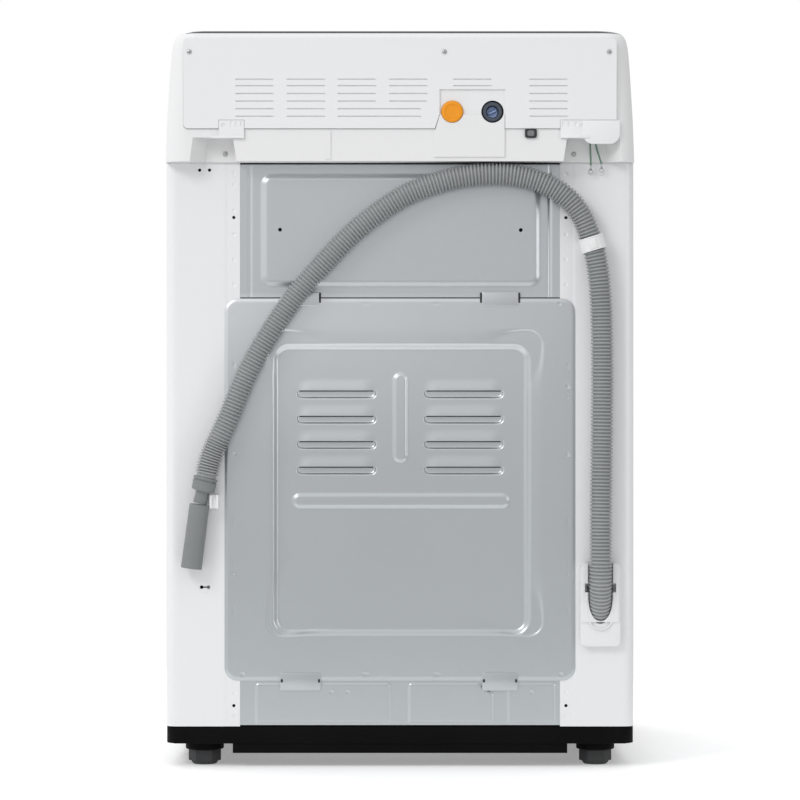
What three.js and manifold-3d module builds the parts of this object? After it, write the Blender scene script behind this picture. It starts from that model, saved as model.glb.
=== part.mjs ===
// A top load washing machine as an assembly of separate pieces, in millimetres, +Z up.
// The front faces -Y, the back faces +Y, and the origin is on the floor under the middle of the machine.
import * as THREE from "three";
import { mergeVertices } from "three/addons/utils/BufferGeometryUtils.js";
import Module from "manifold-3d";

const wasm = await Module();
wasm.setup();

// ---------- driving dimensions ----------
const WIDTH = 632; // over the side walls
const DEPTH = 670; // front edge of the top cover to the rearmost bracket
const HEIGHT = 991;
const GAP = 0.3; // between pieces that touch
const SHEET = 1; // steel sheet thickness
const WALL = 3; // moulded plastic wall thickness

const HALF_W = WIDTH / 2;
const FRONT_Y = -DEPTH / 2;
const BACK_Y = DEPTH / 2;
const COVER_BACK_Y = BACK_Y - 4; // rear wall of the top cover
const FLANGE_Y = 299; // outer face of the cabinet's rear flanges
const CABINET_FRONT_Y = FRONT_Y + 2;
const BASE_TOP = 54;
const BASE_SKIRT = 31; // lower edge of the base's rim
const BASE_RIB = 18; // lower edge of the stiffening ribs between the feet
const CABINET_BOTTOM = BASE_TOP + GAP;
const CABINET_TOP = 815;
const FLANGE_INNER_X = 216; // the rear opening between the two flanges is twice this

const TUB_Y = -18; // the wash axis is vertical through (0, TUB_Y)
const TUB_R = 285;
const TUB_TOP = 786;
const TUB_BOTTOM = 236;
const DRUM_R = 264;
const DRUM_SHEET = 0.8;
const DRUM_BOTTOM = 262;
const DRUM_TOP = 740;
const RING_INNER_R = 228; // balance ring
const RING_TOP = 775;
const ROD_OFFSET = 272; // suspension rods from the wash axis, along X and along Y

const LID_FRONT_Z = 905; // the lid plane rises from the front edge to the console
const CONSOLE_Y = 136;
const CONSOLE_Z = 935.4;
const CONSOLE_SLOPE = THREE.MathUtils.degToRad(18);
const CONSOLE_SKIN = 4; // thickness of the black console panel
const LID_SLOPE = Math.atan2(CONSOLE_Z - LID_FRONT_Z, CONSOLE_Y - FRONT_Y);
const LID_THICK = 14;
const LID_SEAT = LID_THICK + 2; // depth of the recess that the lid lies in
const LID_HINGE_Y = 122;
const LID_HINGE_DROP = 8; // hinge axis below the lid plane
const MOUTH = { halfX: 225, front: -262, back: 100, corner: 110, bottom: 822 };

const HOSE_R = 15;
const HOSE_Y = 317.2;

const lidPlane = (y) => LID_FRONT_Z + (y - FRONT_Y) * Math.tan(LID_SLOPE);

// ---------- materials ----------
const finish = (color, roughness, metalness = 0) =>
  new THREE.MeshStandardMaterial({ color, roughness, metalness });
const whitePaint = finish(0xebebec, 0.35);
const whitePlastic = finish(0xe9e9ea, 0.4);
const zincSteel = finish(0xb6bbbe, 0.35, 0.8);
const blackPlastic = finish(0x0e0e0f, 0.45);
const blackGloss = finish(0x0a0a0b, 0.08);
const darkRubber = finish(0x333333, 0.8);
const greyPlastic = finish(0x838788, 0.55);
const orangePlastic = finish(0xe79703, 0.45);
const bluePlastic = finish(0x778db1, 0.4);
const stainless = finish(0xc9cbcc, 0.25, 1);
const springSteel = finish(0x8c8f92, 0.35, 1);
const tubPlastic = finish(0xd9dadb, 0.55);
const ringPlastic = finish(0xc4c8cb, 0.45);
const greenVinyl = finish(0x2f6b5c, 0.5);
const copper = finish(0xa4642f, 0.4, 0.9);
const tintedGlass = finish(0x15171a, 0.03);

// ---------- solids ----------
// A three.js geometry as a manifold-3d solid.
function solid(geometry) {
  const bare = geometry.clone();
  for (const name of Object.keys(bare.attributes)) {
    if (name !== "position") bare.deleteAttribute(name);
  }
  const merged = mergeVertices(bare, 1e-4);
  const index = merged.index.array;
  const triangles = [];
  for (let i = 0; i < index.length; i += 3) {
    const [a, b, c] = [index[i], index[i + 1], index[i + 2]];
    if (a !== b && b !== c && a !== c) triangles.push(a, b, c);
  }
  const make = (list) =>
    new wasm.Manifold(
      new wasm.Mesh({
        numProp: 3,
        vertProperties: merged.attributes.position.array,
        triVerts: new Uint32Array(list),
      }),
    );
  const made = make(triangles);
  return made.volume() >= 0 ? made : make(triangles.reverse());
}

function geometryOf(shape) {
  const mesh = shape.getMesh();
  const geometry = new THREE.BufferGeometry();
  geometry.setAttribute("position", new THREE.BufferAttribute(mesh.vertProperties, 3));
  geometry.setIndex(new THREE.BufferAttribute(mesh.triVerts, 1));
  const flat = geometry.toNonIndexed();
  flat.computeVertexNormals();
  return flat;
}

const join = (...shapes) => shapes.reduce((a, b) => a.add(b));
const cut = (shape, ...cutters) => cutters.reduce((a, b) => a.subtract(b), shape);

const root = new THREE.Group();
root.name = "washing_machine";

// Adds a named piece to a group, placed at (x, y, z).
function piece(name, material, shape, place = [0, 0, 0], group = root) {
  const mesh = new THREE.Mesh(geometryOf(shape), material);
  mesh.name = name;
  mesh.position.set(...place);
  group.add(mesh);
  return mesh;
}

const block = (x0, x1, y0, y1, z0, z1) =>
  solid(
    new THREE.BoxGeometry(x1 - x0, y1 - y0, z1 - z0).translate(
      (x0 + x1) / 2,
      (y0 + y1) / 2,
      (z0 + z1) / 2,
    ),
  );

// A bar of round section along Z, standing on z0.
const round = (r, z0, z1, segments = 24) =>
  solid(
    new THREE.CylinderGeometry(r, r, z1 - z0, segments)
      .rotateX(Math.PI / 2)
      .translate(0, 0, (z0 + z1) / 2),
  );

// A solid of revolution about Z: profile is a list of [radius, z].
const turned = (profile, segments = 32) =>
  solid(
    new THREE.LatheGeometry(
      profile.map(([r, z]) => new THREE.Vector2(r, z)),
      segments,
    ).rotateX(Math.PI / 2),
  );

const ringOf = (inner, outer, z0, z1, segments = 32) =>
  turned([[inner, z0], [outer, z0], [outer, z1], [inner, z1], [inner, z0]], segments);

function roundedRect(x0, x1, y0, y1, r) {
  const s = new THREE.Shape();
  s.absarc(x1 - r, y1 - r, r, 0, Math.PI / 2);
  s.absarc(x0 + r, y1 - r, r, Math.PI / 2, Math.PI);
  s.absarc(x0 + r, y0 + r, r, Math.PI, 1.5 * Math.PI);
  s.absarc(x1 - r, y0 + r, r, 1.5 * Math.PI, 2 * Math.PI);
  s.closePath();
  return s;
}

const polygon = (points) => new THREE.Shape(points.map(([x, y]) => new THREE.Vector2(x, y)));

const extruded = (shape, depth, curveSegments) =>
  new THREE.ExtrudeGeometry(shape, { depth, bevelEnabled: false, curveSegments });

// A flat plate: its outline is a shape in X and Y, between two heights.
const slab = (shape, z0, z1, curveSegments = 6) =>
  solid(extruded(shape, z1 - z0, curveSegments).translate(0, 0, z0));

// A wall plate: its outline is a shape in X and Z, and its outer face is at y.
const wallPlate = (shape, y, thickness, curveSegments = 4) =>
  solid(extruded(shape, thickness, curveSegments).rotateX(Math.PI / 2).translate(0, y, 0));

// A side profile, a list of [y, z], carried along X.
function profile(points, x0, x1) {
  const shape = polygon(points);
  const cyclic = new THREE.Matrix4().set(0, 0, 1, x0, 1, 0, 0, 0, 0, 1, 0, 0, 0, 0, 0, 1);
  return solid(extruded(shape, x1 - x0, 1).applyMatrix4(cyclic));
}

// A closed skin through rings of equally many points, each ring convex.
function loft(rings) {
  const n = rings[0].length;
  const points = rings.flat();
  const index = [];
  for (let k = 0; k + 1 < rings.length; k += 1) {
    for (let i = 0; i < n; i += 1) {
      const j = (i + 1) % n;
      const [a, b, c, d] = [k * n + i, k * n + j, (k + 1) * n + j, (k + 1) * n + i];
      index.push(a, b, c, a, c, d);
    }
  }
  const last = (rings.length - 1) * n;
  for (let i = 1; i + 1 < n; i += 1) {
    index.push(0, i + 1, i, last, last + i, last + i + 1);
  }
  const geometry = new THREE.BufferGeometry();
  geometry.setAttribute("position", new THREE.Float32BufferAttribute(points.flat(), 3));
  geometry.setIndex(index);
  return solid(geometry);
}

// A ring of points round a rounded rectangle, in the plane that place puts it in.
function outline(halfX, halfY, corner, place, perCorner = 4) {
  const points = [];
  for (let c = 0; c < 4; c += 1) {
    const cx = (c === 0 || c === 3 ? 1 : -1) * (halfX - corner);
    const cy = (c < 2 ? 1 : -1) * (halfY - corner);
    for (let i = 0; i <= perCorner; i += 1) {
      const a = ((c + i / perCorner) * Math.PI) / 2;
      points.push(place(cx + corner * Math.cos(a), cy + corner * Math.sin(a)));
    }
  }
  return points;
}

// A tube along a smooth line.
function tube(points, r, sides, steps) {
  const section = new THREE.Shape();
  for (let i = 0; i < sides; i += 1) {
    const a = (i * 2 * Math.PI) / sides;
    section[i ? "lineTo" : "moveTo"](r * Math.cos(a), r * Math.sin(a));
  }
  const line = new THREE.CatmullRomCurve3(points.map((p) => new THREE.Vector3(...p)));
  return solid(new THREE.ExtrudeGeometry(section, { steps, extrudePath: line, bevelEnabled: false }));
}

// ---------- cabinet and base ----------
// One sheet wraps the front and both sides and turns in at the back as two flanges.
function cabinet() {
  const corner = 14;
  const depthMiddle = (CABINET_FRONT_Y + FLANGE_Y) / 2;
  const halfDepth = (FLANGE_Y - CABINET_FRONT_Y) / 2;
  const wrap = (inset) =>
    roundedRect(
      -HALF_W + inset,
      HALF_W - inset,
      depthMiddle - halfDepth + inset,
      depthMiddle + halfDepth - inset,
      corner - inset,
    );
  const sheet = cut(
    slab(wrap(0), CABINET_BOTTOM, CABINET_TOP, 4),
    slab(wrap(SHEET), 0, HEIGHT, 4),
    block(-FLANGE_INNER_X, FLANGE_INNER_X, FLANGE_Y - 10, FLANGE_Y + 10, 0, HEIGHT),
    block(-288, -252, FLANGE_Y - 10, FLANGE_Y + 10, 170, 246), // the drain outlet's hole
  );
  // A welded corner plate carries each suspension rod.
  const plates = [];
  for (const sx of [-1, 1]) {
    for (const sy of [-1, 1]) {
      const x = sx * ROD_OFFSET;
      const y = TUB_Y + sy * ROD_OFFSET;
      const wallX = sx * (HALF_W - SHEET / 2);
      const wallY = sy > 0 ? FLANGE_Y - SHEET / 2 : CABINET_FRONT_Y + SHEET / 2;
      const plate = block(
        Math.min(x - sx * 32, wallX),
        Math.max(x - sx * 32, wallX),
        Math.min(y - sy * 32, wallY),
        Math.max(y - sy * 32, wallY),
        795,
        798,
      ).intersect(slab(wrap(SHEET / 2), 790, 800, 4));
      plates.push(cut(plate, round(6.5, 700, 900, 16).translate([x, y, 0])));
    }
  }
  return join(sheet, ...plates);
}
piece("cabinet", whitePaint, cabinet());

// The base is a frame of channel section, open below, with a boss at each corner for a foot.
function baseTray() {
  const wall = 4;
  const middleY = (CABINET_FRONT_Y + FLANGE_Y) / 2;
  const rimShape = (inset) =>
    roundedRect(
      -HALF_W + inset,
      HALF_W - inset,
      CABINET_FRONT_Y + inset,
      FLANGE_Y - inset,
      22 - inset,
    );
  const wellShape = (grow) =>
    roundedRect(-225 - grow, 225 + grow, middleY - 215 - grow, middleY + 215 + grow, 60 + grow);
  const rim = cut(slab(rimShape(0), BASE_SKIRT, BASE_TOP, 3), slab(wellShape(0), 0, 100, 3));
  const channel = cut(slab(rimShape(wall), 0, BASE_TOP - wall, 3), slab(wellShape(wall), 0, 100, 3));
  const skirts = [];
  for (const y of [CABINET_FRONT_Y + 2, FLANGE_Y - 2 - wall]) {
    skirts.push(block(-226, 226, y, y + wall, BASE_RIB, BASE_TOP - 1));
  }
  for (const x of [-HALF_W + 3, HALF_W - 3 - wall]) {
    skirts.push(block(x, x + wall, middleY - 215, middleY + 190, BASE_RIB, BASE_TOP - 1));
  }
  const at = ([x, y], shape) => shape.translate([x, y, 0]);
  const bosses = footPlaces().map((p) => at(p, round(26, 20.5, BASE_TOP - 1, 20)));
  const holes = footPlaces().map((p) => at(p, round(6, 0, 60, 12)));
  return cut(join(cut(rim, channel), ...skirts, ...bosses), ...holes);
}

function footPlaces() {
  return [
    [-266, -290],
    [266, -290],
    [-266, 256],
    [266, 256],
  ];
}
piece("base_tray", blackPlastic, baseTray());

// Each foot is a rubber pad with a hexagonal skirt, moulded on a threaded stem.
function foot() {
  return join(
    turned([[0, 0], [15.5, 0], [18, 3], [18, 4.5], [0, 4.5]], 24),
    round(22, 4, 20, 6).rotate([0, 0, 30]),
    round(5, 19, 52, 12),
  );
}
["front_left", "front_right", "rear_left", "rear_right"].forEach((where, i) => {
  const [x, y] = footPlaces()[i];
  piece("foot_" + where, darkRubber, foot(), [x, y, 0]);
});

// ---------- rear panels ----------
const PANEL_Y = FLANGE_Y - SHEET - GAP; // the fixed panels sit behind the flanges

// A plate with a pad pressed out of it, or into it where rise is negative.
function pressedPanel(plate, y, [x0, x1, z0, z1], rise, slope = 8) {
  const [cx, cz] = [(x0 + x1) / 2, (z0 + z1) / 2];
  const [hx, hz] = [(x1 - x0) / 2, (z1 - z0) / 2];
  const ringAt = (grow, depth) =>
    outline(hx + grow, hz + grow, 14, (u, v) => [cx + u, y + depth, cz + v]);
  const away = Math.sign(rise);
  const outer = loft([ringAt(slope, -SHEET / 2), ringAt(0, rise - (away < 0 ? SHEET : 0))]);
  const inner = loft([
    ringAt(slope - SHEET, -SHEET / 2 - away * 0.6),
    ringAt(-SHEET, rise - (away > 0 ? SHEET : 0)),
  ]);
  const mouth = loft([ringAt(slope - SHEET, -SHEET - 1), ringAt(slope - SHEET, 1)]);
  const [coverFrom, coverTo] = away > 0 ? [y - 50, y - SHEET] : [y, y + 50];
  const cover = block(-400, 400, coverFrom, coverTo, 0, 900);
  const shell = cut(cut(outer, inner), cover);
  return join(cut(plate, mouth), shell);
}

const upperPlate = wallPlate(roundedRect(-228, 228, 612, CABINET_TOP - 2, 3), PANEL_Y, SHEET);
piece("upper_rear_panel", zincSteel, pressedPanel(upperPlate, PANEL_Y, [-190, 190, 655, 793], 3));

const lowerPlate = wallPlate(roundedRect(-228, 228, BASE_TOP + 2, 128, 3), PANEL_Y, SHEET);
piece("lower_rear_panel", zincSteel, lowerPlate);

// The removable service cover lies over the flanges and the two fixed panels.
function rearCover() {
  const y = FLANGE_Y + GAP + SHEET;
  const plate = wallPlate(roundedRect(-237, 237, 116, 632, 18), y, SHEET);
  const pressed = pressedPanel(plate, y, [-171, 171, 186, 566], -7);
  const slots = [];
  for (const x of [-86, 86]) {
    for (const z of [404, 438.5, 472.7, 507]) {
      slots.push(block(x - 52, x + 52, y - 30, y + 5, z - 1.5, z + 1.5));
    }
  }
  return cut(pressed, ...slots);
}
piece("rear_cover", zincSteel, rearCover());

// ---------- top cover, console and lid ----------
const coverMiddleY = (FRONT_Y + COVER_BACK_Y) / 2;
const coverHalfY = (COVER_BACK_Y - FRONT_Y) / 2;

// The tapering outer form of the top cover, drawn in by inset all round.
function coverForm(inset) {
  const levels = [
    [CABINET_TOP + GAP, 316, 0],
    [915, 311.6, 2],
    [961, 308.5, 3],
    [980, 305, 4],
    [987, 299, 7],
    [HEIGHT, 292, 12],
  ];
  return loft(
    levels.map(([z, halfX, back], i) =>
      outline(halfX - inset, coverHalfY - back - inset, 30 - inset, (x, y) => [
        x,
        coverMiddleY + y,
        inset > 0 && i === 0 ? z - 5 : z,
      ]),
    ),
  );
}

// Everything below the lid plane and the console slope, each lowered by its own amount.
function underTop(lidDrop, consoleDrop) {
  const rise = CONSOLE_Z - consoleDrop;
  const flatY = CONSOLE_Y + (HEIGHT - CONSOLE_Z) / Math.tan(CONSOLE_SLOPE);
  return profile(
    [
      [-400, 700],
      [400, 700],
      [400, HEIGHT - consoleDrop],
      [flatY, HEIGHT - consoleDrop],
      [CONSOLE_Y, rise],
      [CONSOLE_Y, lidPlane(CONSOLE_Y) - lidDrop],
      [-400, lidPlane(-400) - lidDrop],
    ],
    -400,
    400,
  );
}

// The recess that the lid lies in, grown by grow.
function lidRecess(grow) {
  const [front, back] = [-321 - grow, CONSOLE_Y - 3 + grow];
  const depth = LID_SEAT + grow;
  return profile(
    [
      [front, lidPlane(front) - depth],
      [back, lidPlane(back) - depth],
      [back, 1100],
      [front, 1100],
    ],
    -271 - grow,
    271 + grow,
  );
}

const mouthPrism = (grow, z0, z1) =>
  slab(
    roundedRect(
      -MOUTH.halfX - grow,
      MOUTH.halfX + grow,
      MOUTH.front - grow,
      MOUTH.back + grow,
      MOUTH.corner + grow,
    ),
    z0,
    z1,
    6,
  );

// Points and pieces on the console are placed in its own sloping frame.
const consoleFrame = new THREE.Group();
consoleFrame.position.set(0, CONSOLE_Y, CONSOLE_Z);
consoleFrame.rotation.x = CONSOLE_SLOPE;
consoleFrame.updateMatrix();
root.add(consoleFrame);
const onConsole = (shape) => shape.transform(consoleFrame.matrix.toArray());

const KNOB = { x: 70, along: 88, r: 26 };
const POWER = { x: -225, along: 88, r: 13 };
const START = { x: 225, along: 88, r: 15 };
const OPTIONS = [{ x: 130, along: 88 }, { x: 168, along: 88 }];
const OPTION_HALF = [13, 6];

const VALVE = { hotX: -70, coldX: -124, z: 881.5, spoutR: 13.2, boreR: 8.2, capR: 14.6, holeR: 15.1 };
const BACK_PANEL = { halfX: 290.5, z0: 859, z1: 979.5 };
const HINGE_Z = lidPlane(LID_HINGE_Y) - LID_HINGE_DROP;
// The drawer comes out through the mouth's rounded corner, which is cut away as far as wayY.
const DRAWER = { x0: 60, x1: 200, y0: 100.5, y1: 250, z0: 868, z1: 904, wayY: 30 };

// A scoop in each rear lower corner, where a screw holds the cover to the cabinet's flange.
function cornerScoop(side, grow) {
  const wide = side < 0 ? 18 : 0; // the one with the earth leads reaches further out
  const ringAt = (inner, outer, deepest, z) =>
    [
      [inner - grow, 345],
      [inner - grow, SCOOP_Y - grow],
      [deepest + wide + grow, SCOOP_Y - grow],
      [outer + wide + grow, 345],
    ].map(([x, y]) => [side * x, y, z]);
  return loft([ringAt(214, 296, 266, 780), ringAt(224, 288, 258, SCOOP_TOP + grow)]);
}
const SCOOP_Y = 302.4;
const SCOOP_TOP = 847;

// The inlets stand in a shallow recess of the back panel, and the cover's wall rises to meet them.
const INLET_BAY = { x0: -141, x1: -53, split: 878, top: 911.5, foot: 855 };

function inletSurround() {
  const { x0, x1, split, foot } = INLET_BAY;
  const edge = polygon([
    [x0 + 0.5, split - GAP],
    [x1 - 0.5, split - GAP],
    [-46.5, foot],
    [-46, 821],
    [-140, 821],
  ]);
  const plate = wallPlate(edge, COVER_BACK_Y + 2, 4.5);
  return join(plate, block(93, 100, COVER_BACK_Y - 1, COVER_BACK_Y + 1.2, 818, foot));
}

const spoutHoles = () =>
  [VALVE.hotX, VALVE.coldX].map((x) =>
    round(VALVE.holeR, 0, 60, 24).rotate([-90, 0, 0]).translate([x, 300, VALVE.z]),
  );

function topCover() {
  const pocket = block(-75, 75, FRONT_Y - 10, -305, 872, 1000);
  const pocketWall = block(-78, 78, FRONT_Y - 10, -302, 869, 1100);
  const ledge = block(-400, 400, FLANGE_Y - 2, 400, 700, CABINET_TOP + GAP + WALL);
  const hollow = cut(
    coverForm(WALL).intersect(underTop(WALL, CONSOLE_SKIN + WALL)),
    lidRecess(WALL),
    pocketWall,
    ledge,
    cornerScoop(-1, WALL - GAP),
    cornerScoop(1, WALL - GAP),
    mouthPrism(WALL, MOUTH.bottom, 1100),
  );
  const pinHoles = [-1, 1].map((side) =>
    round(4.6, 0, 30, 16).rotate([0, 90, 0]).translate([side > 0 ? 265 : -295, LID_HINGE_Y, HINGE_Z]),
  );
  const window = block(
    -BACK_PANEL.halfX - 0.5,
    BACK_PANEL.halfX + 0.5,
    320,
    340,
    BACK_PANEL.z0 - 0.5,
    BACK_PANEL.z1 + 0.5,
  );
  const form = join(cut(coverForm(0).intersect(underTop(0, CONSOLE_SKIN)), window), inletSurround());
  return cut(
    form,
    hollow,
    lidRecess(0),
    pocket,
    cornerScoop(-1, 0),
    cornerScoop(1, 0),
    mouthPrism(0, 700, 1100),
    ...spoutHoles(),
    block(DRAWER.x0 - 3, DRAWER.x1 + 3, DRAWER.wayY, 115, DRAWER.z0 - 5, DRAWER.z1 + 6),
    onConsole(block(-250, 250, 50, 125, -30, 2)),
    ...pinHoles,
  );
}
piece("top_cover", whitePlastic, topCover());

// The black panel follows the top cover's outline over the whole console.
function consolePanel() {
  const buttonHole = ({ x, along, r }) => onConsole(round(r + 0.6, -20, 20, 24).translate([x, along, 0]));
  const [ox, oy] = OPTION_HALF;
  const skin = coverForm(0).intersect(
    cut(underTop(0, 0), underTop(0, CONSOLE_SKIN - GAP), block(-400, 400, -400, CONSOLE_Y + 1, 0, 1000)),
  );
  return cut(
    skin,
    onConsole(round(5, -20, 20, 16).translate([KNOB.x, KNOB.along, 0])),
    buttonHole(POWER),
    buttonHole(START),
    ...OPTIONS.map(({ x, along }) =>
      onConsole(block(x - ox - 0.6, x + ox + 0.6, along - oy - 0.6, along + oy + 0.6, -20, 20)),
    ),
  );
}
piece("control_panel", blackGloss, consolePanel());

// The vented back of the console, with the two water inlets standing through it.
function consoleBack() {
  const y = COVER_BACK_Y + 2;
  const slotHalf = 25.5;
  const rows = [875.2, 885.2, 895.5, 905.7, 916.1, 924.8];
  const columns = [
    { x: 195, from: 0, to: 6 },
    { x: 126, from: 0, to: 6 },
    { x: 58, from: 2, to: 6 },
    { x: -11, from: 2, to: 6 },
    { x: -97, from: 4, to: 6 },
    { x: -199, from: 0, to: 6 },
  ];
  const slots = columns.flatMap(({ x, from, to }) =>
    rows.slice(from, to).map((z) => block(x - slotHalf, x + slotHalf, y - 20, y + 5, z - 1, z + 1)),
  );
  const longSlots = rows.slice(0, 2).map((z) => block(-28, 83.5, y - 20, y + 5, z - 1, z + 1));
  const { halfX, z0, z1 } = BACK_PANEL;
  const bay = INLET_BAY;
  const bayMouth = [[bay.x0, bay.split], [bay.x1, bay.split], [-45.4, bay.foot], [bay.x0, bay.foot]];
  return cut(
    wallPlate(roundedRect(-halfX, halfX, z0, z1, 6), y, 4.5),
    ...slots,
    ...longSlots,
    block(bay.x0, bay.x1, y - 2.5, y + 5, bay.split - 1, bay.top),
    wallPlate(polygon(bayMouth), y + 5, 20),
    ...spoutHoles(),
    ...Object.values(BRACKETS).map(([x0, x1]) =>
      block(x0 - 0.5, x1 + 0.5, y - 20, y + 5, z0 - 1, BRACKET_TOP + 0.5),
    ),
  );
}
// Cord brackets at both lower corners, each with a lip along its lower edge: [x0, x1].
const BRACKETS = { left: [-295, -215], right: [209, 243] };
const BRACKET_TOP = 870;
const BRACKET_LIP = 846;
const BRACKET_Y = COVER_BACK_Y + 2.4;
piece("console_back_panel", whitePlastic, consoleBack());

function cordBracket([x0, x1], lip, slotsAt) {
  return cut(
    join(
      block(x0, x1, COVER_BACK_Y + GAP, BRACKET_Y, BRACKET_LIP, BRACKET_TOP),
      block(lip[0], lip[1], COVER_BACK_Y + GAP, BACK_Y, BRACKET_LIP, BRACKET_LIP + 3),
    ),
    ...slotsAt.map((x) => block(x - 1, x + 1, COVER_BACK_Y, BACK_Y, BRACKET_TOP - 8, BRACKET_TOP - 2)),
  );
}
piece("cord_bracket_right", whitePlastic, cordBracket(BRACKETS.right, [209, 253], [213, 220, 227]));
piece(
  "cord_bracket_left",
  whitePlastic,
  join(
    cordBracket([-253, -215], [-253, -215], [-219, -227, -236]),
    wallPlate(roundedRect(-295, -245, 838, BRACKET_TOP, 14), BRACKET_Y + 0.8, 2.9),
  ),
);

// The cord's gland is a moulded plug with a smaller raised centre.
const GLAND = { x: -175.4, z: 852.4 };
const glandPlate = (halfX, halfZ, r, y, thickness) =>
  wallPlate(
    roundedRect(GLAND.x - halfX, GLAND.x + halfX, GLAND.z - halfZ, GLAND.z + halfZ, r),
    y,
    thickness,
  );
piece(
  "power_cord_gland",
  darkRubber,
  join(glandPlate(8, 6.2, 3, BACK_Y - 1.2, 2.5), glandPlate(5, 4, 2, BACK_Y, 3)),
);

// ---------- water inlets ----------
const alongY = (shape, x, y, z) => shape.rotate([-90, 0, 0]).translate([x, y, z]);

function inletValve() {
  const body = block(-152, -44, 262, 297, VALVE.z - 20, VALVE.z + 20);
  const spout = (x) => alongY(round(VALVE.spoutR, 0, 34, 24), x, 296, VALVE.z);
  const bore = (x) => alongY(round(VALVE.boreR, 0, 30, 24), x, 304, VALVE.z);
  return cut(join(body, spout(VALVE.hotX), spout(VALVE.coldX)), bore(VALVE.hotX), bore(VALVE.coldX));
}
piece("inlet_valve", greyPlastic, inletValve());

// The shipping cap slips over the hot spout, and the strainer sits in the cold one.
piece(
  "hot_inlet_cap",
  orangePlastic,
  alongY(cut(round(VALVE.capR, 0, 19, 28), round(VALVE.spoutR + 0.5, -1, 16, 28)), VALVE.hotX, 316, VALVE.z),
);
piece(
  "cold_inlet_strainer",
  bluePlastic,
  join(
    alongY(round(VALVE.boreR - 0.5, 0, 5, 24), VALVE.coldX, 317, VALVE.z),
    block(VALVE.coldX - 6, VALVE.coldX + 6, 321, 324, VALVE.z - 1.2, VALVE.z + 1.2),
  ),
);

// ---------- console parts ----------
piece(
  "selector_knob",
  stainless,
  join(round(KNOB.r, 0.6, 20, 32), round(4.2, -9.6, 1, 16)),
  [KNOB.x, KNOB.along, 0],
  consoleFrame,
);
piece("power_button", whitePlastic, round(POWER.r, -7, 2, 24), [POWER.x, POWER.along, 0], consoleFrame);
piece("start_button", whitePlastic, round(START.r, -7, 2, 24), [START.x, START.along, 0], consoleFrame);
OPTIONS.forEach(({ x, along }, i) => {
  const [ox, oy] = OPTION_HALF;
  const cap = block(-ox, ox, -oy, oy, -7, 2);
  piece("option_button_" + (i + 1), whitePlastic, cap, [x, along, 0], consoleFrame);
});
piece("main_board", greyPlastic, block(-245, 245, 53, 122, -26, -10), [0, 0, 0], consoleFrame);

// ---------- detergent drawer ----------
function dispenserBox() {
  const { x0, x1, y0, y1, z0, z1 } = DRAWER;
  return cut(
    block(x0 - 4, x1 + 4, y0 + 5, y1 + 8, z0 - 4, z1 + 5),
    block(x0 - 1, x1 + 1, y0 - 10, y1 + 4, z0 - 1, z1 + 2),
  );
}
piece("dispenser_box", whitePlastic, dispenserBox());

function detergentDrawer() {
  const { x0, x1, y0, y1, z0, z1 } = DRAWER;
  const wall = 2.5;
  const split = x0 + (x1 - x0) * 0.62;
  return cut(
    block(x0, x1, y0, y1, z0, z1),
    block(x0 + wall, split - wall / 2, y0 + 8, y1 - wall, z0 + wall, z1 + 1),
    block(split + wall / 2, x1 - wall, y0 + 8, y1 - wall, z0 + wall, z1 + 1),
  );
}
piece("detergent_drawer", whitePlastic, detergentDrawer());

// ---------- lid ----------
// Modelled in the lid's own frame: its hinge axis is the origin, and -Y runs down the slope to the front.
const lidFrame = new THREE.Group();
lidFrame.position.set(0, LID_HINGE_Y, HINGE_Z);
lidFrame.rotation.x = LID_SLOPE;
root.add(lidFrame);
const LID = { halfX: 268, back: 5, front: -439, top: LID_HINGE_DROP };

function lidRim() {
  const bottom = LID.top - LID_THICK;
  return cut(
    slab(roundedRect(-LID.halfX, LID.halfX, LID.front, LID.back, 14), bottom, LID.top, 4),
    slab(roundedRect(-205, 205, LID.front + 45, LID.back - 50, 30), bottom - 5, LID.top + 5, 4),
    slab(roundedRect(-258, 258, LID.front + 10, LID.back - 16, 12), LID.top - 4 - GAP, LID.top + 5, 4),
    ...[-1, 1].map((s) => round(3.8, 0, 16, 12).rotate([0, 90, 0]).translate([s > 0 ? 258 : -274, 0, 0])),
  );
}
piece("lid_frame", blackPlastic, lidRim(), [0, 0, 0], lidFrame);
piece(
  "lid_glass",
  tintedGlass,
  slab(roundedRect(-257.6, 257.6, LID.front + 10.4, LID.back - 16.4, 11.6), LID.top - 4, LID.top, 4),
  [0, 0, 0],
  lidFrame,
);
for (const [side, x] of [["left", -278], ["right", 260]]) {
  piece("lid_hinge_pin_" + side, stainless, round(3.5, 0, 18, 12).rotate([0, 90, 0]), [x, 0, 0], lidFrame);
}
piece("lid_lock", blackPlastic, block(120, 180, -314, -268.5, 848, 887));

// ---------- suspended tub ----------
const tubGroup = new THREE.Group();
tubGroup.position.set(0, TUB_Y, 0);
root.add(tubGroup);
const corners = [
  ["front_left", -1, -1],
  ["front_right", 1, -1],
  ["rear_left", -1, 1],
  ["rear_right", 1, 1],
];
const LUG = { z0: 330, z1: 346 };

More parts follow.
